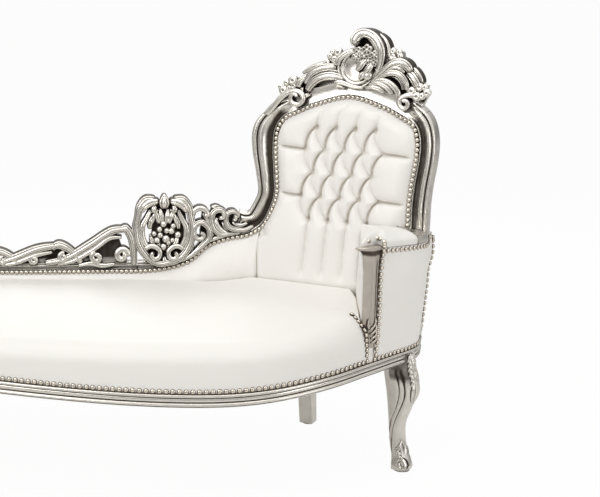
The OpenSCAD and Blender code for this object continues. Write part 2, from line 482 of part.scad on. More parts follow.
// Share of the front's form at a point: it fades out at the rear left corner and along the arm
function fronted(k) = k > 49 ? 0 : k > front_n ? 1 - smooth((k - front_n) / 6) : smooth((k + 1) / 7);
function foot_z(k) = line_z(seat_side(k, deck_z)[0]) - nail_edge + gap;
function seat_skirt(front, rear, low) = [for (k = [0:seat_n - 1]) k <= front_n
    ? seat_point(k, front, 0, low ? foot_z(k) : deck_top) : seat_point(k, rear, 0, deck_top)];
function seat_ring(front, rear) = [for (k = [0:seat_n - 1]) let (t = fronted(k))
    seat_point(k, lerp(rear[0], front[0], t), 0, lerp(rear[1], front[1], t))];
function seat_dome(f, h) = [for (k = [0:seat_n - 1]) let (t = fronted(k))
    seat_point(k, lerp(rear_r, edge_r, t), f, lerp(lerp(rear_edge_z, seat_edge_z, t), seat_edge_z + crown, h))];
rear_r = 14;
module seat_cushion() {
    color(hide) place() skin(concat(
        [[for (k = [0:seat_n - 1]) seat_point(k, 0, 0.75, deck_top)], seat_skirt(skirt_t, skirt_t, false),
            seat_skirt(skirt_t - gap, 0.5, true), seat_skirt(0, 0, true)],
        [for (a = [0:30:90]) seat_ring([edge_r * (1 - cos(a)), lerp(seat_edge_z - edge_h, seat_edge_z, sin(a))],
            [rear_r * (1 - cos(a)), rear_edge_z - rear_r * (1 - sin(a))])],
        [seat_dome(0.45, 0.6), seat_dome(0.7, 0.9), seat_dome(0.93, 1)]));
}

// Tufted panel of the high back. Its edges follow the nail line, its surface is a field of
// pillows between folds that run from tuft to tuft.
line_u = [for (i = [0:6 * knots]) i / (6 * knots)];
right_side = [for (i = [6 * knots:-1:6 * 20]) let (p = curve(back_line, line_u[i])) [p[1], line_u[i]]];
left_side = [for (i = [6 * 9:6 * 16]) let (p = curve(back_line, line_u[i])) [p[1], line_u[i]]];
arch = [for (i = [6 * 15:6 * 21]) let (p = curve(back_line, line_u[i])) [p[0], line_u[i]]];
seam_g = -222 - side_w;
function half_right(z, m) = edge_at(lookup(z, right_side), m)[0];
function half_left(z, m) = z < low_z + 30 ? seam_g + nail_edge - m
    : edge_at(lookup(z, left_side), m)[0];
corner_z = right_line[7][1];
tuft_z = 585;
pad_foot = deck_z + strap_t + 20;
function pleat(x) = pow(abs(sin(180 * x)), 0.6);
// Depth of the folds, 0 on a pillow and 1 in a tuft
function fold(s, z) = let (r = (z - tuft_z) / tuft_h, a = s / tuft_w, up = clamp(r - 4, 0, 4), down = clamp(-r, 0, 9),
    k = clamp(r, 0, 4), pair = max(1 - pleat(a + 0.5 + k / 2), 1 - pleat(a + 0.5 - k / 2)),
    i = round(k), e = a - 0.5 * (i % 2) - 0.5, dx = e - round(e), near = exp(-22 * (dx * dx + (k - i) * (k - i) / 2)))
    clamp(0.62 * pair + 0.45 * near, 0, 1) * (1 - 0.8 * smooth(up)) * (1 - 0.75 * smooth(down / 3.4));
// Columns of the panel: eighths of a tuft where the tufts are, wider at the sides
pad_cols = [for (a = concat([-3, -2.75], [for (j = [-20:20]) j / 8], [2.75, 3])) a * tuft_w];
pad_n = len(pad_cols);
function pad_depth(z) = lerp(back_pad, 0.8 * back_pad, smooth((z - lean_z) / 420));
function pad_point(s, z, inset) = let (e = max(smooth(inset / 38), s < 0 && z < low_z - 20 ? 0.25 : 0)) back_at(s, z,
    e * (pad_depth(z) - (z > lean_z + 20 ? tuft_d * fold(s, z) * smooth(inset / 30) : 0)));
function pad_row(z) = let (l = half_left(z, -nail_edge), r = half_right(z, -nail_edge)) concat(
    [back_at(half_left(z, nail_edge - gap), z, 0), back_at(l, z, 0), pad_point(lerp(l, pad_cols[0], 0.5), z, -l / 2 + pad_cols[0] / 2)],
    [for (s = pad_cols) pad_point(s, z, min(s - l, r - s))],
    [pad_point(lerp(r, pad_cols[pad_n - 1], 0.5), z, r / 2 - pad_cols[pad_n - 1] / 2), back_at(r, z, 0),
     back_at(half_right(z, nail_edge - gap), z, 0)]);
function arch_at(s, m) = edge_at(lookup(s, arch), m);
top_row_z = tuft_z + 4 * tuft_h;
module high_back_panel() {
    rows = [for (z = concat([pad_foot, 0.6 * lean_z + 0.4 * pad_foot + 60, tuft_z - 0.6 * tuft_h],
        [for (i = [0:16]) tuft_z + i * tuft_h / 4])) pad_row(z)];
    m = pad_n + 6;
    last = concat([half_left(top_row_z, nail_edge - gap), half_left(top_row_z, -nail_edge)],
        [lerp(half_left(top_row_z, -nail_edge), pad_cols[0], 0.5)], pad_cols,
        [lerp(half_right(top_row_z, -nail_edge), pad_cols[pad_n - 1], 0.5)],
        [half_right(top_row_z, -nail_edge), half_right(top_row_z, nail_edge - gap)]);
    corner = right_line[7][0];
    function at_arch(j, d) = arch_at(lerp(-corner, corner, clamp(last[j] / corner / 2 + 0.5, 0, 1)), d);
    function side_edge(j) = j == 0 || j == m - 1 ? nail_edge - gap : -nail_edge;
    upper = [[for (j = [0:m - 1]) let (top = at_arch(j, side_edge(j)), s = lerp(last[j], top[0], 0.6), z = lerp(top_row_z, top[1], 0.6))
        j < 2 || j > m - 3 ? back_at(s, z, 0) : pad_point(s, z, (top[1] - z) + 4)]];
    edge = [[for (j = [0:m - 1]) let (p = at_arch(j, side_edge(j))) back_at(p[0], p[1], 0)],
        [for (j = [0:m - 1]) let (p = at_arch(j, nail_edge - gap)) back_at(p[0], p[1], 0)]];
    front = concat(rows, upper, edge);
    set_back = rebate - 2 * gap;
    n = len(front);
    function behind(p) = [each [p[0], p[1]] + away(back_turn) * set_back, p[2]];
    pts = concat([for (r = front) each r], [for (r = front) each [behind(r[0]), behind(r[m - 1])]],
        [for (j = [1:m - 2]) behind(front[n - 1][j])]);
    b = n * m;
    t = b + 2 * n;
    function top(j) = j == 0 ? b + 2 * (n - 1) : j == m - 1 ? b + 2 * (n - 1) + 1 : t + j - 1;
    color(hide) place() solid(pts, concat(
        [for (i = [0:n - 2], j = [0:m - 2]) let (k = i * m + j) each [[k, k + 1, k + m + 1], [k, k + m + 1, k + m]]],
        [for (i = [0:n - 2]) let (k = b + 2 * i, l = i * m, r = i * m + m - 1) each
            [[k, k + 2, k + 3], [k, k + 3, k + 1], [l, l + m, k + 2], [l, k + 2, k], [r, k + 1, k + 3], [r, k + 3, r + m]]],
        [for (j = [0:m - 2]) let (k = (n - 1) * m + j) each [[k, k + 1, top(j + 1)], [k, top(j + 1), top(j)]]],
        [for (j = [1:m - 2]) [top(0), top(j), top(j + 1)]],
        [for (j = [0:m - 2]) [b, j + 1, j]], [[b, b + 1, m - 1]]));
}

// Panel of the low back, from the seam at the left stile to the end of the tail
low_top = [for (i = [0:6 * 10]) let (p = curve(back_line, line_u[i])) [p[0], p[1]]];
function low_edge(g) = lookup(g, low_top);
// How far the low panel's padding stands forward
function low_swell(g, z) = let (d = low_edge(g) - nail_edge - max(z, rear_edge_z - rear_r)) back_pad * smooth(d / 40 + 0.02) * (d < 0 ? 0 : 1)
    * lerp(0.25, 1, smooth((seam_g - g) / 34));
module low_back_panel() {
    n = 30;
    gs = [for (i = [0:n]) lerp(seam_g - gap, tail_end + 8, pow(i / n, 1.4))];
    function z_at(g, t) = t < 0.9 ? lerp(pad_foot, low_edge(g) - nail_edge, t / 0.9)
        : low_edge(g) + lerp(-nail_edge, nail_edge - 2.5, (t - 0.9) / 0.1);
    ts = [0, 0.25, 0.5, 0.72, 0.9, 1];
    color(hide) place() sheet([for (g = gs) [for (t = ts) back_at(g, z_at(g, t), low_swell(g, z_at(g, t)))]],
        [for (g = gs) [for (t = ts) back_at(g, z_at(g, t), -rebate + 2 * gap)]]);
}
// Coverings on the outside of the backs
cover_q = -rebate - frame_t - 0.7;
module high_back_cover() {
    zs = [for (i = [0:8]) lerp(deck_z + gap, corner_z - 10, i / 8)];
    function wide(z) = half_right(z, frame_w * 0.6);
    rows = concat([for (z = zs) [for (t = [-1:0.25:1]) [t * wide(z), z]]],
        [for (f = [0.5, 1]) [for (t = [-1:0.25:1]) let (s = t * wide(corner_z - 10)) [s, lerp(corner_z - 10,
            arch_at(clamp(s, -170, 170), 14)[1] - 30 * abs(t), f)]]]);
    color(hide) place() sheet([for (r = rows) [for (p = r) back_at(p[0], p[1], cover_q)]],
        [for (r = rows) [for (p = r) back_at(p[0], p[1], cover_q - 2)]]);
}
module low_back_cover() color(hide) place() {
    n = 26;
    gs = [for (i = [0:n]) lerp(-right_line[0][0] - 0.6 * frame_w - 1, tail_end + 8, pow(i / n, 1.8))];
    sheet([for (g = gs) [for (t = [0:0.5:1]) back_at(g, lerp(deck_z + gap, low_edge(g) + 8, t), cover_q)]],
        [for (g = gs) [for (t = [0:0.5:1]) back_at(g, lerp(deck_z + gap, low_edge(g) + 8, t), cover_q - 2)]]);
}

// Arm. Its outer side runs from the post round the corner to the back of the right stile and
// flares upwards, its inner side runs straight back to the high back.
arm_rear_g = right_line[0][0] + frame_w + 4;
function arm_top(t) = arm_z - arm_fall * t;
// Half width of the post at a height; the coverings end against it
post_line = [[deck_z - 6, 0], [deck_z + 2, 4], [deck_z + 18, 6], [deck_z + 35, 10], [deck_z + 60, 12.5], [arm_z - 100, 13.5],
    [arm_z - 60, 14], [arm_z - 22, 19], [arm_z - 6, 24], [arm_z, 24]];
function post_half(z) = lookup(z, post_line) * post_w / 48;
function arm_outer(t, z) = let (f = clamp((z - nail_z) / (arm_z - nail_z), 0, 1), a = back_at(arm_rear_g, z, 8),
    b = back_at(arm_rear_g, z, -rebate - frame_t)) curve([
    rim(along(u_post, post_half(z) + gap), 1 + 4 * f), rim(along(u_post, post_w / 2 + 60), 10 * f),
    rim(u_right, 16 * f), rim(along(u_right, 62), 1 + 14 * f), [a[0], a[1]], [b[0], b[1]]], t);
function arm_inner(t, z) = let (r = back_at(inner_rear_g, z, back_pad + 1.5), half = lookup(z, [[arm_z - 60, 14], [arm_z, 24]]),
    p = rim(along(u_post, -half * post_w / 48), -post_d - 1))
    lerp(p, [r[0], r[1]], t);
function arm_normal(t, z) = let (e = arm_outer(min(t + 0.01, 1), z) - arm_outer(max(t - 0.01, 0), z)) [e[1], -e[0]] / norm(e);
function arm_skin(t, z, d) = [each arm_outer(t, z) + d * arm_normal(t, z), z];
function arm_foot(t) = line_z(arm_outer(t, nail_z)[0]) - nail_edge + gap;
// Rows of the outer panel, from its foot to its top, and how far each swells out
arm_rows = let (h = arm_z - arm_foot(0)) concat([0],
    [for (p = post_line) let (b = (p[0] - arm_foot(0)) / h) if (b > 0.03 && b < 0.99) b], [1]);
bow = [for (b = arm_rows) [b, lookup(b, [[0, 0], [0.12, 3], [0.5, 6], [0.92, 3], [1, 0]])]];
module arm_outer_panel() {
    ts = [for (i = [0:18]) i / 18];
    function row(t, d) = [for (b = arm_rows) arm_skin(t, lerp(arm_foot(t), arm_top(t), b), d + (d < 0 ? 0 : lookup(b, bow)))];
    color(hide) place() sheet([for (t = ts) row(t, 0)], [for (t = ts) row(t, -skirt_t)]);
}
module arm_inner_panel() {
    function row(t, d) = [for (z = [deck_z + strap_t + 1, arm_z - 60, arm_top(t)])
        [each arm_inner(t, z) + d * lerp([1, 0], toward(back_turn), t), z]];
    color(hide) place() sheet([for (i = [0:5]) row(i / 5, 0)], [for (i = [0:5]) row(i / 5, panel_t)]);
}
arm_end = 0.76;
module arm_rail() {
    color("burlywood") place() skin([for (i = [0:8]) let (t = lerp(0.08, arm_end, i / 8), z = arm_top(t) - 5)
        [arm_skin(t, z - 40, -skirt_t - gap), arm_skin(t, z, -skirt_t - gap), arm_skin(t, z, -30), arm_skin(t, z - 40, -30)]]);
}
module arm_pad() {
    n = 42;
    mid = [705, -225];
    // round the plan: outer side, rear, inner side, behind the post
    function side_t(k) = k <= 20 ? lerp(0.02, arm_end, k / 20) : k <= 30 ? 1 : k < 40 ? lerp(0.94, 0.06, (k - 31) / 8) : 0;
    function side_p(k) = k <= 20 ? arm_outer(side_t(k), arm_top(side_t(k)))
        : k <= 30 ? let (g = lerp(arm_rear_g - 10, inner_rear_g + 6, (k - 20.5) / 9.5),
            r = back_at(g, arm_z - 20, lerp(back_pad + 4, 13, smooth((g - 140) / 50)))) [r[0], r[1]]
        : k < 40 ? arm_inner(side_t(k), arm_z - 20) : rim(along(u_post, k == 40 ? -post_w / 3 : post_w / 2 + 4), -post_d + 2);
    // the dome stops short of the stile, a flat covering goes on to it
    function flat_part(k) = 58 * smooth((k - 9) / 5) * smooth((29 - k) / 6);
    function ring(d, h) = [for (k = [0:n - 1]) let (p = side_p(k), v = mid - p,
        w = d * (k > 30 ? 1.2 : k > 20 ? 0.5 : 1) + (d > 5 ? flat_part(k) : 0), f = min(w / norm(v), 0.8))
        [each p + v * f, lerp(arm_top(side_t(k)), arm_top(0.3), f) + 2 * gap + h]];
    color(hide) place() skin([ring(4, 0), ring(1, 5), ring(7, 0.5 * arm_dome), ring(20, 0.82 * arm_dome), ring(44, 0.97 * arm_dome),
        ring(900, arm_dome)]);
}
// Arm post: it swells to a flared top that leans over the seat
module arm_post() color(wood) place() {
    h = heading(outline, u_post);
    c = rim(u_post);
    face = [[-1, -post_d + 6], [-1, 0], [-0.86, 4], [-0.45, 6], [0, 6.5], [0.45, 6], [0.86, 4], [1, 0], [1, -post_d + 6]];
    translate([c[0], c[1], 0]) rotate(atan2(h[1], h[0])) scale([1, -1, 1])
        skin([for (p = post_line) if (p[0] > deck_z) let (w = p[1] * post_w / 48)
            [for (f = face) [w * f[0] - (f[0] < 0 ? 1.8 * max(p[1] - 14, 0) : 0), f[1], p[0]]]]);
}

// Nails stand on the covering's edge, half a nail pitch apart from the corners.
module nail_at(p, d) {
    r = (nail_d * nail_d / 4 + nail_h * nail_h) / (2 * nail_h);
    translate(p + gap * d) rotate([0, acos(clamp(d[2], -1, 1)), atan2(d[1], d[0])]) intersection() {
        translate([0, 0, nail_h - r]) sphere(r, $fn = 24);
        translate([-r, -r, 0]) cube([2 * r, 2 * r, nail_h + 1]);
    }
}
function flat_normal(h) = [h[1], -h[0], 0];
module seat_nails() color("gold") place() {
    us = [for (i = [0:170]) lerp(0.012, along(u_post, -12), i / 170)];
    for (u = even(us, [for (u = us) rim(u)], nail_pitch))
        nail_at([each rim(u), line_z(rim(u)[0])], flat_normal(heading(outline, u)));
    // beside the arm post, up the seat's end
    up = u_post_left(deck_z);
    for (z = even([line_z(rim(up)[0]) + nail_pitch, seat_edge_z - edge_h], [[line_z(rim(up)[0]) + nail_pitch, 0],
        [seat_edge_z - edge_h, 0]], nail_pitch)) let (u = u_post_left(z)) nail_at([each rim(u), z], flat_normal(heading(outline, u)));
}
function u_post_left(z) = along(u_post, -post_half(z) - 9);
function back_normal(g) = let (a = turn_at(g), m = -away(a)) [m[0] * cos(back_rake), m[1] * cos(back_rake), sin(back_rake)];
module back_nails(ua, ub, n) {
    us = [for (i = [0:n]) lerp(ua, ub, i / n)];
    for (u = even(us, [for (u = us) curve(back_line, u)], nail_pitch)) nail_at(on_line(u, 0, 2 * gap),
        back_normal(curve(back_line, u)[0]));
}
module high_back_nails() color("gold") place() back_nails(u_bend, 26.4 / knots, 160);
module low_back_nails() color("gold") place() back_nails(0.01, u_bend - 0.6 / knots, 120);
module arm_nails() {
    ts = [for (i = [0:48]) lerp(0.02, 0.985, i / 48)];
    function top_p(t) = arm_skin(t, arm_top(t) - 7, 1.6);
    function foot_p(t) = arm_skin(t, line_z(arm_outer(t, nail_z)[0]), 1.3);
    function column(t) = [for (b = [0.06:0.04:0.94]) arm_skin(t, lerp(arm_foot(t), arm_top(t), b), lookup(b, bow) + 0.6)];
    module row(us, pts, normal) {
        table = [for (k = [0:2]) [for (i = [0:len(us) - 1]) [us[i], pts[i][k]]]];
        for (u = even(us, pts, nail_pitch)) nail_at([for (k = [0:2]) lookup(u, table[k])], normal ? [each arm_normal(u, arm_z), 0]
            : [each arm_normal(us[0] < -1 ? 0.99 : 0.01, arm_z), 0]);
    }
    color("gold") place() {
        row(ts, [for (t = ts) top_p(t)], true);
        row(ts, [for (t = ts) foot_p(t)], true);
        for (t = [0.012, 0.985]) let (c = column(t)) row([for (i = [0:len(c) - 1]) (t > 0.5 ? -2 : 0) + i / 1000], c, false);
    }
}

front_rail();
left_end_rail();
right_side_rail();
rear_rail();
head_rail();
corner_blocks();
front_right_leg();
front_left_leg();
rear_right_leg();
rear_left_leg();
leg_glides();
seat_webbing();
seat_cushion();
crest_rail();
left_stile();
right_stile();
low_back_rail();
cartouche_rail();
tail_rail();
back_posts();
high_back_panel();
low_back_panel();
high_back_cover();
low_back_cover();
arm_post();
arm_rail();
arm_pad();
arm_outer_panel();
arm_inner_panel();
seat_nails();
high_back_nails();
low_back_nails();
arm_nails();
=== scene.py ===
# %% [markdown]
# # A carved chaise longue
# A chaise longue is half armchair, half couch. This one has a high tufted back and one closed arm
# at its head end, a low carved back along the rear, and a long seat with a rounded foot end.
# The rigid model is already built and packed. This notebook dresses it: carved silver leaf on the
# wood, white leather-like covering on the padding, and a plain studio round it.

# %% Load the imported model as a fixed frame
import math
import bmesh
import bpy
import numpy as np
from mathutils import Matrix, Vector


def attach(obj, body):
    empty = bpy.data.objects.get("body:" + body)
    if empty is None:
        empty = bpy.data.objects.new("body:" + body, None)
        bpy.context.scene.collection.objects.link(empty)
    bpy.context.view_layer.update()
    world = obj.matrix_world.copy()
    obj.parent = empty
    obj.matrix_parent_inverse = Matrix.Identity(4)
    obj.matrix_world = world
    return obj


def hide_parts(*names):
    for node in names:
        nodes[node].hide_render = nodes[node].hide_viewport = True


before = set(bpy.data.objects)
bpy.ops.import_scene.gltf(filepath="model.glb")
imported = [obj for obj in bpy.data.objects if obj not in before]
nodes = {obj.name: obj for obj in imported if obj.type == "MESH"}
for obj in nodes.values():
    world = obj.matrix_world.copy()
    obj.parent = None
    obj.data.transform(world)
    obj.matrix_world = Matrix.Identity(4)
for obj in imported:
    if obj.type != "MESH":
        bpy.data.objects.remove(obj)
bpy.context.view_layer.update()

# %% [markdown]
# ## The lines that everything follows
# An upholsterer's frame hangs on two long curves: the plan of the seat, and the nail line that
# climbs from the tail over the low back and round the arch. All pieces are placed from these two
# lines, in millimetres, and turned into metres at the end. A smooth curve through a few points is
# enough, because a carver's template is drawn the same way.

# %% Smooth lines through a few points
SHIFT = np.array([6.0, 213.0, 0.0])   # puts the drawing's zero under the middle of the piece


def between(a, b, c, d, t):
    """The smooth curve from b to c, where a comes before them and d after them."""
    return 0.5 * (2 * b + (c - a) * t + (2 * a - 5 * b + 4 * c - d) * t ** 2
                  + (3 * b - a - 3 * c + d) * t ** 3)


def line(points, n):
    """n + 1 points of a smooth curve through the given points."""
    p = np.array(points, float)
    last = len(p) - 1
    x = np.linspace(0, last, n + 1)
    i = np.minimum(x.astype(int), last - 1)
    t = (x - i).reshape((-1,) + (1,) * (p.ndim - 1))
    return between(p[np.maximum(i - 1, 0)], p[i], p[i + 1], p[np.minimum(i + 2, last)], t)


def ease(x):
    """Climbs softly from 0 to 1 while x goes from 0 to 1, and stays level outside."""
    t = np.clip(x, 0, 1)
    return t * t * (3 - 2 * t)


def mix(a, b, t):
    """Goes from a at 0 to b at 1."""
    return a + (b - a) * t


def headings(points):
    """Unit directions along a line of points."""
    d = np.gradient(points, axis=0)
    return d / np.linalg.norm(d, axis=1)[:, None]


def lengths(points):
    """How far along a line each of its points lies."""
    return np.concatenate([[0], np.cumsum(np.linalg.norm(np.diff(points, axis=0), axis=1))])


def look_up(table, grid, u):
    """Every column of a table, read at u."""
    return np.stack([np.interp(u, grid, table[:, k]) for k in range(table.shape[1])], -1)


def read_at(values, at):
    """Values that stand at equal steps, read at places from 0 to 1."""
    return np.interp(at, np.linspace(0, 1, len(values)), values)


def arrays(*values):
    """The values as arrays of one shape."""
    return np.broadcast_arrays(*[np.asarray(v, float) for v in values])


def with_height(xy, z):
    """Plan points and their heights as points in space."""
    return np.concatenate([xy, z[..., None]], -1)


# %% Plan of the seat
RIM = line([(-700, 66), (-785, 40), (-836, -25), (-852, -125), (-835, -235), (-780, -335), (-690, -405),
            (-545, -456), (-370, -508), (-170, -558), (50, -593), (235, -599), (377, -574), (510, -507),
            (612, -425), (697, -347), (762, -277), (788, -190)], 3400)
RIM_U = np.linspace(0, 1, len(RIM))
RIM_H = headings(RIM)
U_LEFT, U_POST, U_RIGHT = 5.35 / 17, 14.15 / 17, 15.6 / 17   # left leg, arm post, right leg
NAIL_LOW, NAIL_SWEEP = 295.0, 12.5   # lowest height of the nails, and half of their climb to the ends
DIP_X, DIP_RIGHT, DIP_LEFT = 215.0, 520.0, 905.0   # where they are lowest, and how far the climb reaches


def rim(u, out=0.0):
    """Plan point on the seat's line, out millimetres outside it."""
    u, out = arrays(u, out)
    h = look_up(RIM_H, RIM_U, u)
    return look_up(RIM, RIM_U, u) + out[..., None] * np.stack([h[..., 1], -h[..., 0]], -1)


def along(u, d):
    """u of a point d millimetres further along the seat's line."""
    step = np.linalg.norm(rim(u + 0.005) - rim(u - 0.005))
    return u + 0.01 * d / step


def nail_z(x):
    """Height of the nail line over the rail at x."""
    x = np.asarray(x, float)
    t = np.clip(np.where(x > DIP_X, (x - DIP_X) / DIP_RIGHT, (DIP_X - x) / DIP_LEFT), 0, 1)
    return NAIL_LOW + NAIL_SWEEP * (1 - np.cos(np.pi * t))


print("seat line from", rim(0).round(1), "to", rim(1).round(1), "nails at", nail_z(rim(0.5)[0]).round(1))


# %% Surface of the backs: g runs along it, z is up, q stands forward
TURN, LEAN = math.radians(28.9), math.tan(math.radians(10))   # how far the high back is turned and leans
LEAN_Z = 410.0   # the plan of the backs is drawn at this height
BEND_A, BEND_L = -215.0, 60.0   # start and length of the bend between the two backs
BEND_B, BEND_R = BEND_A - BEND_L, BEND_L / TURN   # its end and its radius
MID = np.array([584.4, -35.8])   # middle of the high back
BEND_P = MID + BEND_A * np.array([math.cos(TURN), -math.sin(TURN)]) \
    - BEND_R * np.array([math.sin(TURN), math.cos(TURN) - 1])


def turn_at(g):
    """How far the backs have turned at g."""
    return TURN * np.clip((g - BEND_B) / BEND_L, 0, 1)


def back_at(g, z, q):
    """Point of the backs: straight along the low one, round the bend, straight along the high one."""
    g, z, q = arrays(g, z, q)
    turn = turn_at(g)
    straight = g >= BEND_A
    bend_x = BEND_P[0] + BEND_R * np.sin(turn) + np.minimum(g - BEND_B, 0)
    bend_y = BEND_P[1] + BEND_R * (np.cos(turn) - 1)
    x = np.where(straight, MID[0] + g * math.cos(TURN), bend_x)
    y = np.where(straight, MID[1] - g * math.sin(TURN), bend_y)
    push = LEAN * (z - LEAN_Z) - q
    return np.stack([x + np.sin(turn) * push, y + np.cos(turn) * push, z], -1)


# %% Nail line of the backs
ARCH, LOW, CART = 913, 527, 436   # heights of the arch, the low back's right end and the cartouche
CART_G, TAIL_END = -478, -1144   # g of the cartouche's middle and of the tail's end
SIDE = [(195, 300), (193, 450), (190, 590), (188, 645), (190, 700), (196, 765), (194, 812), (180, 847),
        (148, 866), (90, 892)]
BACK_POINTS = [(TAIL_END, CART - 14), (mix(TAIL_END, CART_G, 0.25), CART - 13),
               (mix(TAIL_END, CART_G, 0.5), CART - 12), (mix(TAIL_END, CART_G, 0.75), CART - 10),
               (CART_G - 31, CART - 7), (CART_G + 64, CART + 15), (-360, LOW - 33), (-304, LOW - 13),
               (-252, LOW - 2), (-217, LOW + 25), (-193, LOW + 76), (-184, 646), (-190, 699),
               (-199, 762), (-199, 812), (-182, 845), (-149, 864), (-90, 890), (0, ARCH)]
BACK_POINTS += SIDE[::-1]
KNOTS = len(BACK_POINTS) - 1
BACK = line(BACK_POINTS, 100 * KNOTS)
KNOT = np.linspace(0, KNOTS, len(BACK))


def outward():
    """Direction away from the covering: straight up along the low back, square to the line elsewhere."""
    h = headings(BACK)
    d = mix(np.array([0.0, 1.0]), np.stack([-h[:, 1], h[:, 0]], -1), ease(KNOT - 7.3)[:, None])
    return d / np.linalg.norm(d, axis=1)[:, None]


OUTWARD = outward()


def beside(k, m):
    """(g, z) of a point m millimetres outside the nail line at knot k."""
    k, m = arrays(k, m)
    return look_up(BACK, KNOT, k) + m[..., None] * look_up(OUTWARD, KNOT, k)


def on_frame(k, m, q):
    """The same point on the backs, q millimetres forward."""
    p = beside(k, m)
    return back_at(p[..., 0], p[..., 1], q)


print("nail line knots:", KNOTS, "arch at", back_at(0, ARCH, 0).round(1))

# %% [markdown]
# ## From points to pieces
# Every piece starts as a flat grid, a ball or a spun profile made by a bmesh operator, and its
# vertices are then laid where the drawing says. The drawing also knows which places lie deep or in
# shade, so it writes them into a vertex attribute: the silver leaf reads it to put its patina and
# painted shade there, and the leather reads it for the painted shade of its folds.

# %% Helpers that build a piece
def begin():
    """An empty mesh whose vertices can say how deep they lie and how much painted shade they get."""
    bm = bmesh.new()
    bm.verts.layers.float.new("hollow")
    return bm


def settle(bm, verts, points, hollow=0.0):
    """Moves vertices to points given in millimetres and writes how deep they lie and how much painted shade
    they get.
    """
    layer = bm.verts.layers.float["hollow"]
    points = (np.asarray(points).reshape(-1, 3) + SHIFT) / 1000
    depth = np.asarray(hollow, float).reshape(-1) if np.ndim(hollow) else hollow
    for v, p, h in zip(verts, points, np.broadcast_to(depth, len(points))):
        v.co = p
        v[layer] = h


def cover(bm, rows, hollow=0.0, ring=False):
    """A grid of faces over rows of points; ring joins each row's end to its start."""
    rows = np.asarray(rows)
    hollow = np.broadcast_to(hollow, rows.shape[:2])
    if ring:
        rows = np.concatenate([rows, rows[:, :1]], 1)
        hollow = np.concatenate([hollow, hollow[:, :1]], 1)
    n, m = rows.shape[:2]
    made = bmesh.ops.create_grid(bm, x_segments=m - 1, y_segments=n - 1, size=1)["verts"]
    flat = np.array([v.co[:2] for v in made]).round(5)
    order = np.lexsort((flat[:, 0], flat[:, 1]))
    settle(bm, [made[i] for i in order], rows, hollow)


def finish_piece(bm, name, replaced, material, sharp=40):
    """Welds and closes the mesh, turns its faces outwards and hands the piece over."""
    bmesh.ops.remove_doubles(bm, verts=bm.verts[:], dist=3e-6)
    bmesh.ops.dissolve_degenerate(bm, edges=bm.edges[:], dist=1e-7)
    open_edges = [e for e in bm.edges if e.is_boundary]
    if open_edges:
        bmesh.ops.holes_fill(bm, edges=open_edges, sides=0)
    bmesh.ops.recalc_face_normals(bm, faces=bm.faces[:])
    mesh = bpy.data.meshes.new(name)
    bm.to_mesh(mesh)
    bm.free()
    mesh.polygons.foreach_set("use_smooth", [True] * len(mesh.polygons))
    mesh.set_sharp_from_angle(angle=math.radians(sharp))
    piece = bpy.data.objects.new(name, mesh)
    bpy.context.scene.collection.objects.link(piece)
    mesh.materials.append(material)
    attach(piece, "root")
    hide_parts(*replaced)
    print(name, "faces:", len(mesh.polygons))


# %% [markdown]
# ## Finishes
# The frame is covered with silver leaf: thin metal over carved wood, rubbed bright on the ridges,
# with dark wax left in the hollows. The covering is smooth white leather cloth with a fine grain.
# Both use the same node group for how dirt and wear gather and for painted shade in recesses
# and creases, so it is built once.

# %% Node helpers
def tree_nodes(tree):
    """A short way to add nodes to one tree."""
    def add(kind, **values):
        node = tree.nodes.new(kind)
        for key, value in values.items():
            setattr(node, key, value)
        return node
    return add


def new_group(name, inputs, outputs):
    """A node group of float sockets: the inputs come with their first values."""
    tree = bpy.data.node_groups.new(name, "ShaderNodeTree")
    for label, value in inputs.items():
        socket = tree.interface.new_socket(name=label, in_out="INPUT", socket_type="NodeSocketFloat")
        socket.default_value = value
    for label in outputs:
        tree.interface.new_socket(name=label, in_out="OUTPUT", socket_type="NodeSocketFloat")
    return tree, tree.nodes.new("NodeGroupInput"), tree.nodes.new("NodeGroupOutput")


def new_material(name):
    """A material, what adds and links its nodes, and its shader."""
    material = bpy.data.materials.new(name)
    material.use_nodes = True
    tree = material.node_tree
    return material, tree_nodes(tree), tree.links.new, tree.nodes["Principled BSDF"]


def map_range(add, low, high, to_low=0.0, to_high=1.0):
    node = add("ShaderNodeMapRange", interpolation_type="SMOOTHSTEP")
    for slot, value in zip((1, 2, 3, 4), (low, high, to_low, to_high)):
        node.inputs[slot].default_value = value
    return node


def math_node(add, operation, second=None):
    node = add("ShaderNodeMath", operation=operation)
    if second is not None:
        node.inputs[1].default_value = second
    return node


# %% Age and shade: where wax and dust gather, painted shade in recesses, and fine unevenness
AGE_AND_SHADE, given, out = new_group("age_and_shade", {"Depth": 1.0, "Speckle": 0.3, "Reach": 0.012},
                            ("Mask", "Grain", "Streaks"))
add, link = tree_nodes(AGE_AND_SHADE), AGE_AND_SHADE.links.new
place = add("ShaderNodeTexCoord")
deep = add("ShaderNodeAttribute", attribute_name="hollow")
# Ambient occlusion, painted into the colour as shade in recesses and creases.
painted_occlusion = add("ShaderNodeAmbientOcclusion", samples=8)
coarse = add("ShaderNodeTexNoise")
coarse.inputs["Scale"].default_value = 38
coarse.inputs["Detail"].default_value = 5
fine = add("ShaderNodeTexNoise")
fine.inputs["Scale"].default_value = 420
fine.inputs["Detail"].default_value = 3
link(place.outputs["Object"], coarse.inputs["Vector"])
link(place.outputs["Object"], fine.inputs["Vector"])
link(given.outputs["Reach"], painted_occlusion.inputs["Distance"])
occlusion_shade = map_range(add, 0.75, 0.25)
link(painted_occlusion.outputs["AO"], occlusion_shade.inputs[0])
scaled = math_node(add, "MULTIPLY")
link(deep.outputs["Fac"], scaled.inputs[0])
link(given.outputs["Depth"], scaled.inputs[1])
both = math_node(add, "MAXIMUM")
link(scaled.outputs[0], both.inputs[0])
link(occlusion_shade.outputs[0], both.inputs[1])
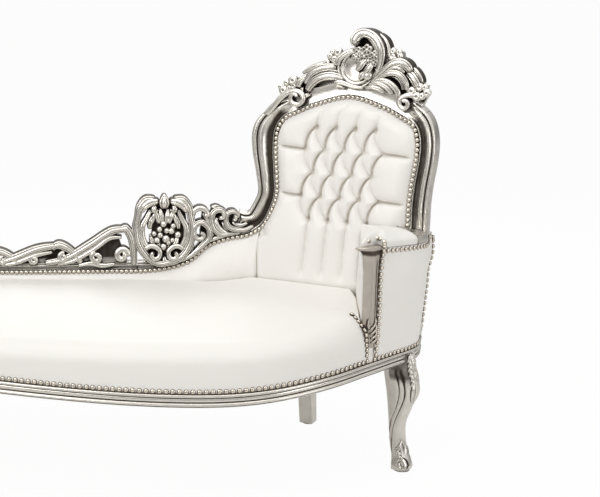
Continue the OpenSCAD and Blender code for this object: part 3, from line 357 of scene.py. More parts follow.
rough_edge = math_node(add, "SUBTRACT", 0.5)
link(coarse.outputs["Fac"], rough_edge.inputs[0])
spread = math_node(add, "MULTIPLY")
link(rough_edge.outputs[0], spread.inputs[0])
link(given.outputs["Speckle"], spread.inputs[1])
total = math_node(add, "ADD")
link(both.outputs[0], total.inputs[0])
link(spread.outputs[0], total.inputs[1])
mask = map_range(add, 0.25, 0.95)
link(total.outputs[0], mask.inputs[0])
link(mask.outputs[0], out.inputs["Mask"])
link(fine.outputs["Fac"], out.inputs["Grain"])
link(coarse.outputs["Fac"], out.inputs["Streaks"])
print("node group:", AGE_AND_SHADE.name)


# %% A material from a base colour, an aged colour and the age group
def aged_and_shaded_colour(add, link, base, aged_and_shaded, depth, speckle, reach):
    """The age and shade group with its values, and a colour that its mask takes from clean to aged and
    shaded.
    """
    age_and_shade = add("ShaderNodeGroup", node_tree=AGE_AND_SHADE)
    for label, value in (("Depth", depth), ("Speckle", speckle), ("Reach", reach)):
        age_and_shade.inputs[label].default_value = value
    colour = add("ShaderNodeMix", data_type="RGBA")
    colour.inputs["A"].default_value = (*base, 1)
    colour.inputs["B"].default_value = (*aged_and_shaded, 1)
    link(age_and_shade.outputs["Mask"], colour.inputs["Factor"])
    return age_and_shade, colour


def aged_and_shaded_material(name, base, aged_and_shaded, metallic, rough, depth, speckle, reach, bump, grain=(0.94, 1.05)):
    """Rough gives the roughness when clean and where aged and shaded, grain the lightness of the streaks."""
    material, add, link, shader = new_material(name)
    shader.inputs["Metallic"].default_value = metallic
    age_and_shade, colour = aged_and_shaded_colour(add, link, base, aged_and_shaded, depth, speckle, reach)
    lightness = map_range(add, 0.3, 0.7, *grain)
    link(age_and_shade.outputs["Streaks"], lightness.inputs[0])
    tone = add("ShaderNodeHueSaturation")
    link(colour.outputs["Result"], tone.inputs["Color"])
    link(lightness.outputs[0], tone.inputs["Value"])
    link(tone.outputs["Color"], shader.inputs["Base Color"])
    gloss = map_range(add, 0, 1, *rough)
    link(age_and_shade.outputs["Mask"], gloss.inputs[0])
    link(gloss.outputs[0], shader.inputs["Roughness"])
    relief = add("ShaderNodeBump")
    relief.inputs["Strength"].default_value = bump
    relief.inputs["Distance"].default_value = 0.0006
    link(age_and_shade.outputs["Grain"], relief.inputs["Height"])
    link(relief.outputs["Normal"], shader.inputs["Normal"])
    return material


# The dark second colour is wax in the hollows together with painted shade.
SILVER = aged_and_shaded_material("silver_leaf", (0.68, 0.65, 0.595), (0.05, 0.039, 0.03), metallic=0.86,
                       rough=(0.26, 0.6), depth=0.95, speckle=0.55, reach=0.011, bump=0.25)
POST_SILVER = aged_and_shaded_material("worn_silver_leaf", (0.5, 0.455, 0.4), (0.07, 0.05, 0.038), metallic=0.72,
                            rough=(0.36, 0.65), depth=1.0, speckle=0.9, reach=0.01, bump=0.3)
NAIL = aged_and_shaded_material("nail_metal", (0.66, 0.6, 0.51), (0.07, 0.05, 0.035), metallic=0.9,
                     rough=(0.2, 0.5), depth=1.1, speckle=0.25, reach=0.004, bump=0.05)
BARE = aged_and_shaded_material("bare_wood", (0.5, 0.34, 0.2), (0.2, 0.12, 0.07), metallic=0.0,
                     rough=(0.6, 0.75), depth=1.0, speckle=0.4, reach=0.02, bump=0.4, grain=(0.8, 1.15))
FELT = aged_and_shaded_material("felt", (0.03, 0.028, 0.026), (0.02, 0.018, 0.016), metallic=0.0,
                     rough=(0.9, 0.95), depth=1.0, speckle=0.3, reach=0.01, bump=0.8)
print("metals and woods:", [m.name for m in (SILVER, POST_SILVER, NAIL, BARE, FELT)])


# %% White leather cloth: pebbled grain, soft gloss, and a warm painted shade in the folds
def leather(name, base, fold_shade):
    material, add, link, shader = new_material(name)
    shader.inputs["Specular IOR Level"].default_value = 0.3
    shader.inputs["Coat Weight"].default_value = 0.06
    shader.inputs["Coat Roughness"].default_value = 0.35
    colour = aged_and_shaded_colour(add, link, base, fold_shade, depth=0.55, speckle=0.12, reach=0.02)[1]
    link(colour.outputs["Result"], shader.inputs["Base Color"])
    pebbles = add("ShaderNodeTexVoronoi", feature="SMOOTH_F1")
    pebbles.inputs["Scale"].default_value = 900
    where = add("ShaderNodeTexCoord")
    link(where.outputs["Object"], pebbles.inputs["Vector"])
    soft = add("ShaderNodeTexNoise")
    soft.inputs["Scale"].default_value = 26
    link(where.outputs["Object"], soft.inputs["Vector"])
    gloss = map_range(add, 0.3, 0.7, 0.46, 0.58)
    link(soft.outputs["Fac"], gloss.inputs[0])
    link(gloss.outputs[0], shader.inputs["Roughness"])
    small = add("ShaderNodeBump")
    small.inputs["Strength"].default_value = 0.16
    small.inputs["Distance"].default_value = 0.0004
    link(pebbles.outputs["Distance"], small.inputs["Height"])
    large = add("ShaderNodeBump")
    large.inputs["Strength"].default_value = 0.25
    large.inputs["Distance"].default_value = 0.004
    link(soft.outputs["Fac"], large.inputs["Height"])
    link(small.outputs["Normal"], large.inputs["Normal"])
    link(large.outputs["Normal"], shader.inputs["Normal"])
    return material


WHITE = leather("white_leather_cloth", (0.885, 0.872, 0.84), (0.52, 0.47, 0.385))
print("covering:", WHITE.name)

# %% Webbing: straps of crossing threads
WEB, add, link, web_shader = new_material("jute_webbing")
threads = add("ShaderNodeTexWave", bands_direction="X")
threads.inputs["Scale"].default_value = 180
where = add("ShaderNodeTexCoord")
link(where.outputs["Object"], threads.inputs["Vector"])
jute = add("ShaderNodeMix", data_type="RGBA")
jute.inputs["A"].default_value = (0.3, 0.22, 0.13, 1)
jute.inputs["B"].default_value = (0.5, 0.4, 0.27, 1)
link(threads.outputs["Fac"], jute.inputs["Factor"])
link(jute.outputs["Result"], web_shader.inputs["Base Color"])
web_shader.inputs["Roughness"].default_value = 0.85
print("webbing:", WEB.name)


# %% The two finishes that most pieces get
def silvered(bm, name, node, sharp=40, finish=SILVER):
    """Hands over a piece of silvered wood."""
    finish_piece(bm, name, [node], finish, sharp=sharp)


def padding(bm, name, node):
    """Hands over a padded piece, smooth all over."""
    finish_piece(bm, name, [node], WHITE, sharp=180)


# %% [markdown]
# ## Mouldings
# A moulding is a section pushed along a line, as a spindle cutter does it: a bright bead, a dark
# quirk, a wide hollow. The section is drawn once with its depths and swept over the seat's plan for
# the rails, and over the nail line for the frame of the backs.

# %% Sizes of the frame
REBATE, RAIL_T, RAIL_H, DECK = 3.0, 33.0, 38.0, 350.0   # rails: step, thickness, face below the nails, top
NAIL_EDGE, FRAME_T, FRAME_W = 6.0, 34.0, 50.0   # backs: covering past the nail line, thickness, width
BLOCK_END = 33.0   # half the length of rail over a leg
GAP, KNOT_GAP = 0.3, 0.012   # joints between two pieces, in millimetres and in knots
BACK_Q = -REBATE - FRAME_T
print("back of the frame:", BACK_Q)

# %% Rails: out from the covering's line, down from the nail line, depth of the patina
RAIL_FACE = line([(-3, 6, 1), (4.5, 6, 0.6), (7.4, 7.6, 0), (7.9, 10.4, 0), (6.2, 13, 0.5),
                  (3.6, 14.6, 1.2), (4.9, 16.6, 0.2), (5.6, 19.5, 0), (4.9, 23, 0.2), (3.2, 25.4, 1.2),
                  (5.8, 27.4, 0.2), (7.9, 30.2, 0), (7.3, 33.2, 0.1), (4.4, 35.2, 1), (4.6, 36.8, 0.2),
                  (2.5, 38, 0.1), (0, 38, 0.2)], 80)


def rail_rows(ua, ub, n, mitred=False):
    """Sections of a rail between two places; mitred cuts its end to the high back."""
    us = np.linspace(ua, ub, n + 1)
    foot = nail_z(rim(us)[:, 0])
    behind = -RAIL_T - REBATE
    out = np.concatenate([RAIL_FACE[:, 0], [behind, behind, -REBATE]])
    z = foot[:, None] - np.concatenate([RAIL_FACE[:, 1], [RAIL_H, 0, 0]])
    z[:, -2:] = DECK
    xy = rim(us[:, None], out)
    if mitred:
        h = look_up(RIM_H, RIM_U, us[-1:])[0]
        away = np.array([math.sin(TURN), math.cos(TURN)])
        depth = LEAN * (z[-1] - LEAN_Z) - (xy[-1] - MID) @ away
        xy[-1] += h * ((depth + REBATE - GAP) / (h @ away))[:, None]
    hollow = np.concatenate([RAIL_FACE[:, 2], [0.3, 0.3, 0.3]])
    return with_height(xy, z), hollow


def rail(name, ua, ub, n, mitred=False):
    bm = begin()
    cover(bm, *rail_rows(ua, ub, n, mitred), ring=True)
    silvered(bm, name + "_moulding", name)


rail("front_rail", along(U_LEFT, BLOCK_END), along(U_RIGHT, -BLOCK_END), 150)
rail("left_end_rail", 0.004, along(U_LEFT, -BLOCK_END), 90)
rail("right_side_rail", along(U_RIGHT, BLOCK_END), 0.97, 16, mitred=True)

# %% Frame of the backs: across from the nail line, forward, depth of the patina
FRAME_FACE = line([(6.3, -3, 1), (6.8, 0.6, 0.4), (8.2, 1.4, 0), (9.8, -0.2, 0.5), (11.4, -3, 1),
                   (15, -4.6, 0.8), (19, -3.8, 0.75), (22.8, -0.6, 0.6), (26, 3.4, 0.3), (29, 7, 0.05),
                   (32, 9, 0), (35, 8.4, 0), (37.6, 5.6, 0.2), (39.4, 2.4, 0.9), (40.8, 1.4, 1.1),
                   (42.2, 3, 0.3), (44.6, 4.6, 0), (47.2, 3.8, 0), (49.2, 0.6, 0.2), (50, -3, 0.4)], 110)
FRAME_BACK = np.array([(50, -35, 0.4), (45, -37, 0.4), (-22, -37, 0.4), (-22, -3, 0.4)])


def grow_at(k):
    """Share of the frame's full width: slim along the low back, wide in the bend, less over the arch."""
    share = mix(mix(0.42, 1.5, ease((k - 7.2) / 0.8)), 1, ease((k - 8.35) / 1.0))
    return mix(share, 0.78, ease(1 - np.abs(k - 18) / 2.6))


def frame_rows(ka, kb, n, relief=1.0, dark=1.0, smooth_between=None):
    """The frame between two knots; relief lowers its profile, dark scales its patina, and above 1 it adds
    painted shade, most in the cove.
    Between two knots it may turn into one smooth cove, as it does over the arch."""
    k = np.linspace(ka, kb, n + 1)[:, None]
    m, q, hollow = np.concatenate([FRAME_FACE, FRAME_BACK]).T
    if smooth_between is not None:
        first, last = smooth_between
        amount = ease((k - first) / 0.9) * ease((last - k) / 0.9) * ((m > 8) & (q > -REBATE - 2))
        q = mix(q, -4 + 1.8 * ((m - 27) / 20) ** 2, amount)
        hollow = mix(hollow, 0.06, amount)
    m = np.where(m > NAIL_EDGE + 1, NAIL_EDGE + (m - NAIL_EDGE) * grow_at(k), m)
    level = relief * (1 - ease((k - 25.4) / 0.8))
    q = np.where(q > -REBATE, mix(-REBATE, q, level), q)
    return on_frame(k, m, q), hollow * dark


def frame_piece(name, ka, kb, n, dark):
    bm = begin()
    cover(bm, *frame_rows(ka, kb, n, dark=dark), ring=True)
    silvered(bm, name + "_moulding", name)


K_TAIL, K_CART, K_BEND, K_LEFT, K_RIGHT = 3.65, 5.33, 8.3, 15.1, 20.9   # where one piece meets the next
# The left stile's cove is painted darker than the right's, as shade.
frame_piece("left_stile", K_BEND, K_LEFT, 190, dark=1.4)
frame_piece("right_stile", K_RIGHT, KNOTS, 170, dark=1.15)

# %% [markdown]
# ## Carving
# A carver lays out the leaves and scrolls as strokes: each has a line, a width that swells and
# tapers, and a section with a rounded back, a gouged channel or two thin veins. Here each stroke is
# one grid of faces wrapped round its line and laid on the leaning back. Flowers and berries are
# balls pressed flat, and the strokes stand on a thin ground that follows them, painted dark as the
# shade between them.

# %% One carved stroke
GROUND, FOOT = -12.0, -27.0   # q of the ground, and of the strokes' hidden feet
FULLER, ROUNDED = 1.3, 0.85   # widths over the drawn ones, and how round the sides are
ACROSS = -np.cos(np.linspace(0, np.pi, 19))


def section(kind):
    """Height across a stroke from 0 to 1, and its patina."""
    a = np.abs(ACROSS)
    dome = np.sqrt(np.clip(1 - a * a, 0, 1))
    if kind == "veined":
        groove = np.exp(-((a - 0.5) / 0.12) ** 2)
        return dome * (1 - 0.26 * groove), 0.9 * groove
    if kind == "leaf":
        groove = np.exp(-(ACROSS / 0.14) ** 2)
        return dome * (1 - 0.26 * groove), 0.85 * groove
    return dome, np.zeros_like(a)


def taper(s, width):
    """How much of its width a stroke keeps near its two ends."""
    left = np.minimum(s, s[-1] - s) / np.maximum(width, 1)
    return np.sqrt(np.clip(1 - (1 - np.clip(left, 0, 1)) ** 2, 0.03, 1))


def stroke(bm, points, widths, tops, kind="round", lay=back_at, ground=GROUND, foot=FOOT, pace=2.6):
    """Wraps a grid round a line; lay puts it on its surface, pace is the length of one face."""
    pts = np.array(points, float)
    at = np.linspace(0, 1, len(pts))
    n = int(np.clip(np.linalg.norm(np.diff(pts, axis=0), axis=1).sum() / pace, 14, 90))
    c = line(pts, n)
    w = line(read_at(widths, at), n)
    top = line(read_at(tops, at), n)
    h = headings(c)
    end = taper(lengths(c), w)
    w = FULLER * w * end
    high, hollow = section(kind)
    side = np.stack([-h[:, 1], h[:, 0]], -1)
    a = np.concatenate([ACROSS, [0.8, -0.8]])
    p = c[:, None] + side[:, None] * (w[:, None] * a)[..., None]
    crown = ground + (top - ground) * (0.3 + 0.7 * end)
    drop = np.minimum(ROUNDED * w, 0.8 * (crown - ground))
    q = crown[:, None] - drop[:, None] * (1 - high)
    q = np.concatenate([q, np.full((len(c), 2), foot)], 1)
    # The sides darken where the stroke meets its ground: patina and painted shade.
    dark_sides = 0.95 * ease((np.abs(ACROSS) - 0.8) / 0.16)
    hollow = np.concatenate([np.maximum(hollow, dark_sides), [1, 1]])
    cover(bm, lay(p[..., 0], p[..., 1], q), hollow, ring=True)


# %% Balls pressed flat: petals, buds and berries
BLOSSOM_SIZE, PETAL_SIZE, BERRY_SIZE = 1.35, 1.2, 1.25   # sizes over the drawn radii
PETALS = 5


def petal(bm, g, z, r, q, height=0.7, cup=0.3, dust=0.1):
    """A ball pressed to a height and cupped in its middle; dust is its patina."""
    made = bmesh.ops.create_uvsphere(bm, u_segments=16, v_segments=10, radius=1)["verts"]
    v = np.array([x.co[:] for x in made])
    across = np.hypot(v[:, 0], v[:, 1])
    up = v[:, 2] * np.where(v[:, 2] > 0, 1 - cup * np.exp(-(across / 0.45) ** 2), 1)
    in_cup = cup * 1.6 * np.exp(-(across / 0.35) ** 2) * (v[:, 2] > 0)
    # The cupped middle and the rim and underside darken as patina and painted shade; dust darkens the whole
    # petal.
    hollow = np.clip(dust + in_cup + 0.9 * ease(0.3 - v[:, 2]), 0, 1)
    settle(bm, made, back_at(g + r * v[:, 0], z + r * v[:, 1], q + r * height * up), hollow)


def blossom(bm, g, z, r, q, start):
    """A small open flower: cupped petals round a bud."""
    for a in np.radians(start + 360 / PETALS * np.arange(PETALS)):
        petal(bm, g + 0.54 * r * math.cos(a), z + 0.54 * r * math.sin(a), 0.52 * r, q, 0.5, 0.4,
              dust=0.5)
    petal(bm, g, z, 0.34 * r, q + 0.1 * r, 0.9, 0.0, dust=0.3)


# %% Ground plate under the strokes, following their reach
OVERHANG = 2.5   # how far the strokes stand out over their ground


def reached(strokes, balls):
    """Points and radii that stand for everything carved."""
    pts, rad = [], []
    for points, widths, *_ in strokes:
        pts.append(line(points, 24))
        rad.append(read_at(widths, np.linspace(0, 1, 25)))
    for g, z, r in balls:
        pts.append([(g, z)])
        rad.append([0.8 * r])
    return np.concatenate(pts), np.concatenate(rad)


def ground_plate(bm, ka, kb, n, strokes, balls, far):
    """A thin plate between two knots that reaches as far out as the carving, at most to far."""
    pts, rad = reached(strokes, balls)
    ks = np.linspace(ka, kb, n + 1)
    ms = np.arange(12, far, 2.0)
    at = beside(ks[:, None], ms)
    near = np.min(np.linalg.norm(at[:, :, None] - pts, axis=-1) - rad, axis=-1)
    reach = np.where(near < -OVERHANG, ms, 0).max(1)
    edge = NAIL_EDGE + (FRAME_W - NAIL_EDGE) * grow_at(ks) - 4
    reach = np.convolve(np.pad(reach, 2, mode="edge"), np.full(5, 0.2), "valid")
    at_end = ease(np.minimum(ks - ka, kb - ks) / 0.35 - 0.4)
    reach = np.maximum(mix(edge, reach, at_end), edge)
    t = np.linspace(0, 1, 15)
    m = mix(10.0, reach[:, None], t)
    front = on_frame(ks[:, None], m, GROUND - 1)
    back = on_frame(ks[:, None], m[:, ::-1], BACK_Q)
    # Past the plain band the ground is painted dark, as the shade between the strokes.
    ground_shade = ease((m - edge[:, None] - 6) / 10)   # the plain band goes on a little under the leaves
    cover(bm, np.concatenate([front, back], 1), np.concatenate([0.95 * ground_shade, 0.5 * ground_shade], 1), ring=True)


# %% Outline of the crest's carving: (g, height over the arch), half widths, heights, section
def over_arch(rows):
    return [([(g, ARCH + h) for g, h in p], *rest) for p, *rest in rows]


def flat_points(rows):
    return [(g, ARCH + h, r) for g, h, r in rows]


CREST_SCROLLS = over_arch([
    ([(67, 57), (78, 80), (83, 105), (81, 130), (70, 151), (51, 166), (31, 171), (16, 165), (9, 151),
      (16, 139)],
     [3, 6, 8.4, 9.4, 9.4, 9.4, 10, 11, 11, 8], [16, 24, 30, 34, 34, 32, 32, 36, 38, 34], "veined"),
    ([(78, 62), (90, 84), (95, 108), (93, 132), (82, 153), (64, 168)], [3, 6, 7, 7, 6, 3],
     [4, 10, 14, 14, 12, 6], "leaf"),
    ([(70, 79), (74, 101), (69, 126), (58, 147), (42, 160), (27, 162)], [3, 5, 5, 5, 4, 3],
     [14, 20, 24, 26, 24, 20], "round"),
    ([(9, 125), (-11, 119), (-27, 108), (-37, 94), (-36, 80)], [4, 6, 7, 7, 6], [18, 22, 24, 24, 22],
     "leaf"),
    ([(184, 7), (171, 14), (156, 13), (142, 4), (140, -10), (151, -20), (162, -15), (163, -4), (154, 1),
      (149, -5)],
     [4, 5.5, 6, 6, 6, 5.5, 5, 4.5, 4, 3.4], [12, 16, 17, 17, 17, 17, 18, 19, 20, 21], "round"),
    ([(-229, -61), (-214, -36), (-195, -12), (-173, 5), (-151, 9), (-134, 2), (-129, -12), (-140, -24),
      (-155, -23), (-164, -12), (-161, 0), (-150, 1), (-144, -7)],
     [4, 6, 6.5, 6.5, 6.5, 6.5, 6, 6, 5.2, 4.8, 4.4, 4, 3.6],
     [8, 12, 15, 16, 17, 17, 17, 17, 18, 19, 20, 21, 22], "round")])
CREST_LEAVES = over_arch([
    ([(-40, 78), (-67, 77), (-90, 72), (-110, 60), (-122, 42), (-126, 27)], [7, 9, 9.4, 8.4, 6.5, 4],
     [14, 19, 20, 19, 16, 11], "veined"),
    ([(-62, 88), (-84, 84), (-106, 77), (-122, 68), (-140, 57)], [3, 5, 5, 5, 3], [8, 13, 14, 13, 8],
     "leaf"),
    ([(-14, 46), (-44, 54), (-71, 53), (-95, 43), (-112, 26), (-120, 9)], [6, 9, 9.6, 9.4, 8.4, 6.5],
     [14, 20, 22, 21, 18, 14], "veined"),
    ([(-118, 52), (-134, 44), (-144, 32), (-147, 16)], [4, 6, 7, 4.4], [10, 15, 16, 11], "leaf"),
    ([(-24, 64), (-48, 66), (-72, 62), (-94, 54), (-108, 40)], [3, 4.6, 5, 4.6, 3], [8, 12, 13, 12, 8],
     "leaf"),
    ([(-30, 92), (-46, 92), (-60, 96)], [4, 6, 4], [10, 15, 11], "leaf"),
    ([(-136, 22), (-136, 8), (-126, -2), (-112, 4)], [3, 5, 5.4, 3.6], [8, 12, 12, 8], "leaf"),
    ([(96, 60), (116, 62), (132, 54), (142, 40), (144, 24)], [3, 4.6, 4.8, 4.2, 3], [8, 12, 12, 11, 7],
     "leaf"),
    ([(90, 96), (102, 104), (118, 108)], [4, 5, 3], [8, 12, 8], "leaf"),
    ([(160, 84), (172, 78), (186, 62), (194, 46)], [3, 5, 5, 3], [4, 8, 8, 4], "leaf"),
    ([(40, 28), (10, 30), (-15, 37), (-32, 39), (-44, 31)], [3, 4.4, 5.4, 6, 6.6], [16, 19, 20, 21, 20],
     "leaf"),
    ([(-14, 24), (-30, 29), (-42, 27)], [2.4, 3.6, 4], [14, 16, 17], "round"),
    ([(61, 45), (86, 70), (105, 88), (121, 97), (139, 98), (155, 88), (164, 73)],
     [2.6, 6, 8, 9, 9.4, 9, 7], [18, 24, 27, 28, 28, 25, 18], "veined"),
    ([(82, 56), (102, 76), (121, 85), (138, 81), (147, 69)], [2.4, 4, 4.6, 4.6, 3.2],
     [18, 22, 23, 22, 17], "round"),
    ([(68, 50), (96, 65), (117, 71), (136, 67), (150, 53), (157, 38), (154, 25)],
     [2.6, 5.4, 6.6, 7, 6.6, 5.4, 3.8], [18, 24, 26, 26, 24, 20, 15], "veined"),
    ([(150, 76), (168, 62), (180, 46), (186, 34)], [6.7, 9, 8.6, 6], [12, 18, 18, 14], "veined"),
    ([(58, 44), (85, 50), (105, 47), (123, 35), (134, 21), (136, 6)], [2.6, 5, 6.2, 6.4, 6, 4],
     [18, 22, 24, 23, 20, 14], "leaf"),
    ([(52, 37), (76, 42), (96, 36), (112, 25), (121, 13)], [2.4, 4.4, 5.4, 5.4, 4],
     [17, 21, 22, 20, 14], "leaf"),
    ([(42, 28), (63, 31), (82, 27), (100, 19)], [2.6, 4.4, 5.6, 5.2], [16, 20, 20, 16], "leaf"),
    ([(92, 112), (104, 108), (118, 106), (132, 102)], [3, 4.4, 4.4, 3], [12, 17, 17, 12], "leaf")])
BOUQUET_LEAVES = over_arch([
    ([(46, 104), (36, 94), (26, 82), (14, 70)], [3, 7, 7.4, 3], [26, 30, 29, 22], "veined"),
    ([(58, 98), (56, 86), (48, 74), (36, 64)], [3, 7, 8, 3], [24, 29, 29, 22], "veined"),
    ([(42, 72), (34, 60), (26, 48)], [3, 7.4, 3], [22, 27, 20], "leaf"),
    ([(20, 108), (8, 104), (-2, 96)], [3, 6, 3], [22, 26, 20], "leaf"),
    ([(66, 84), (76, 74), (80, 62)], [3, 5.4, 3], [18, 22, 16], "leaf")])
CREST_PETALS = flat_points([
    (-42, 116, 11.5), (-50, 98, 10), (-64, 106, 7.4), (-72, 88, 9), (-58, 117, 6.7), (-35, 104, 6.7),
    (-164, 37, 12.4), (-182, 30, 8), (-189, 10, 11.5), (-199, 18, 6.4), (-174, 16, 7.4), (-161, 22, 8),
    (169, 25, 11.8), (189, 36, 10), (203, 36, 8), (210, 22, 10), (184, 12, 11.5), (198, 14, 8.8),
    (95, 122, 8), (109, 125, 8.6), (125, 123, 8), (110, 112, 7.4), (129, 113, 8)])
BOUQUET = flat_points([(22, 122, 10), (43, 127, 11.5), (37, 110, 10), (15, 107, 9.5), (65, 114, 10),
                       (64, 95, 8.4), (49, 100, 8.8), (30, 96, 7.4)])
BALL = (48, ARCH + 61, 14.2)
SHIELD = (15, ARCH + 79, 57)
print("crest:", len(CREST_SCROLLS + CREST_LEAVES + BOUQUET_LEAVES), "strokes")

# %% Build the crest
crest_ends = (K_LEFT + KNOT_GAP, K_RIGHT - KNOT_GAP)
bm = begin()
cover(bm, *frame_rows(*crest_ends, 260, smooth_between=(K_LEFT, K_RIGHT)), ring=True)
silvered(bm, "crest_moulding", "crest_rail")

bm = begin()
all_strokes = CREST_SCROLLS + CREST_LEAVES + BOUQUET_LEAVES
ground_plate(bm, *crest_ends, 240, all_strokes, CREST_PETALS + BOUQUET + [SHIELD], 190)
silvered(bm, "crest_ground", "crest_rail")

bm = begin()
for shape in CREST_SCROLLS + CREST_LEAVES:
    stroke(bm, *shape)
silvered(bm, "crest_scrolls", "crest_rail", sharp=60)

# %% Shield: a dish turned on a lathe, laid on the crest and pushed off centre
bm = begin()
DISH = line([(0, 3), (14, 4), (26, 7), (34, 12), (38.5, 17.5), (42, 18.6), (45, 15.6), (47, 12),
             (50, 13.4), (53, 13.6), (56, 9.5), (57, 0), (56, -26)], 60)
points = [bm.verts.new((r, 0, q)) for r, q in DISH]
edges = [bm.edges.new(pair) for pair in zip(points, points[1:])]
bmesh.ops.spin(bm, geom=points + edges, cent=(0, 0, 0), axis=(0, 0, 1), angle=2 * math.pi, steps=72,
               use_merge=True)
turned = np.array([v.co[:] for v in bm.verts])
r = np.hypot(turned[:, 0], turned[:, 1])
push = 5 * (1 - r / SHIELD[2])
rings = np.exp(-((r - 47) / 1.3) ** 2) + 0.5 * np.exp(-((r - 30) / 6) ** 2)
laid = back_at(SHIELD[0] + turned[:, 0] + push, SHIELD[1] + turned[:, 1] + 0.4 * push, turned[:, 2])
settle(bm, list(bm.verts), laid, rings)
silvered(bm, "crest_shield", "crest_rail", sharp=60)

# %% Bouquet and flowers
bm = begin()
for shape in BOUQUET_LEAVES:
    stroke(bm, *shape, foot=-8)
for g, z, r in BOUQUET:
    blossom(bm, g, z, BLOSSOM_SIZE * r, 24, start=40 + 3 * g)
petal(bm, *BALL, 14, 0.8, 0)
for g, z, r in CREST_PETALS:
    petal(bm, g, z, PETAL_SIZE * r, 6, 0.8, 0.4, dust=0.22)
silvered(bm, "crest_flowers", "crest_rail", sharp=60)

# %% Carving keeps clear of the nails
NAIL_ROOM = 7.5   # from the nail line to the nearest stroke


def low_edge(g):
    """Height of the low back's nail line at g."""
    part = KNOT <= 10
    return np.interp(g, BACK[part][:, 0], BACK[part][:, 1])


def clear_of_nails(rows):
    """Lifts a stroke where its lower edge would cover the nail heads."""
    lifted = []
    for points, widths, *rest in rows:
        p = np.array(points, float)
        w = read_at(widths, np.linspace(0, 1, len(p)))
        p[:, 1] = np.maximum(p[:, 1], low_edge(p[:, 0]) + NAIL_ROOM + FULLER * w)
        lifted.append((p, widths, *rest))
    return lifted


# %% One carved length of the low frame
def carved_length(name, node, ka, kb, steps, strokes, balls, far):
    """The frame between two knots with its ground, strokes and berries."""
    bm = begin()
    cover(bm, *frame_rows(ka, kb, steps[0], relief=0.35, dark=0.8), ring=True)
    ground_plate(bm, ka, kb, steps[1], strokes, balls, far)
    for shape in strokes:
        stroke(bm, *shape)
    for g, z, r in balls:
        petal(bm, g, z, BERRY_SIZE * r, 5, 0.95, 0, dust=0.15)
    silvered(bm, name, node, sharp=60)


# %% Low back: scrolls that roll down to the cartouche
LOW_STROKES = [
    ([(-396, 578), (-395, 593), (-380, 600), (-365, 595), (-359, 583), (-369, 577)],
     [3.4, 5.6, 6, 6, 5.4, 4.2], [12, 16, 17, 17, 18, 20], "round"),
    ([(-426, 450), (-399, 472), (-371, 497), (-355, 520), (-355, 545), (-372, 561), (-391, 555),
      (-397, 537), (-391, 521), (-377, 517), (-369, 528), (-379, 536)],
     [3, 5.4, 6.4, 7, 7, 7, 6.4, 6, 5.4, 5, 4.2, 3.4], [6, 12, 16, 18, 18, 18, 18, 18, 19, 20, 21, 22],
     "veined"),
    ([(-437, 449), (-412, 466), (-386, 489), (-370, 510)], [2.2, 3.8, 4.2, 2.8], [6, 11, 13, 8],
     "round"),
    ([(-433, 442), (-403, 456), (-378, 475), (-358, 497)], [2.2, 3.4, 3.8, 2.6], [4, 8, 10, 6], "round"),
    ([(-356, 504), (-344, 512), (-328, 516), (-306, 515)], [2.6, 4, 4, 2.6], [4, 9, 10, 6], "round"),
    ([(-319, 574), (-311, 587), (-325, 596), (-342, 589), (-348, 568), (-341, 545), (-322, 529),
      (-298, 521), (-268, 521)], [4.4, 5.8, 6.6, 7, 7.4, 7.4, 6.6, 5, 3],
      [18, 18, 18, 18, 17, 16, 14, 10, 5], "veined"),
    ([(-335, 576), (-332, 555), (-317, 538), (-296, 529)], [3.4, 5, 4.8, 2.8], [8, 13, 12, 6], "round"),
    ([(-329, 574), (-317, 575), (-314, 585), (-322, 590)], [4, 4.4, 4.2, 3.6], [17, 20, 22, 23],
     "round"),
    ([(-281, 572), (-276, 582), (-287, 591), (-302, 587), (-308, 570), (-301, 551), (-282, 542),
      (-258, 541), (-238, 553)], [3.4, 4.8, 5.2, 5.2, 5.6, 6.4, 6, 4.6, 3],
     [18, 18, 18, 18, 17, 16, 14, 11, 6], "veined"),
    ([(-290, 573), (-283, 570), (-281, 577), (-288, 581)], [3.6, 3.8, 3.8, 3.2], [17, 20, 22, 23],
     "round"),
    ([(-292, 563), (-280, 555), (-266, 553), (-252, 560)], [2.4, 4, 4, 2.6], [6, 10, 9, 5], "round"),
    ([(-372, 588), (-358, 566), (-350, 545)], [3, 5, 3], [10, 14, 10], "leaf")]
LOW_STROKES += [
    ([(-418, 462), (-404, 482), (-398, 504)], [3, 4.4, 3], [4, 8, 5], "leaf"),
    ([(-362, 552), (-352, 534), (-338, 524)], [3, 4.6, 3], [6, 10, 6], "leaf"),
    ([(-350, 600), (-336, 604), (-322, 600)], [3, 4, 3], [6, 10, 6], "leaf"),
    ([(-316, 566), (-312, 548), (-300, 536)], [3, 4, 2.6], [4, 8, 5], "leaf")]
LOW_STROKES = clear_of_nails(LOW_STROKES)
carved_length("low_back_scrolls", "low_back_rail", K_CART + KNOT_GAP, K_BEND - KNOT_GAP, (120, 130),
              LOW_STROKES, [], 120)


# %% Cartouche: two C-scrolls back to back round a bunch of berries, with a leaf on top
def both_ways(strokes):
    """The strokes and their mirror images about the cartouche's middle."""
    return strokes + [([(2 * CART_G - g, z) for g, z in p], *rest) for p, *rest in strokes]


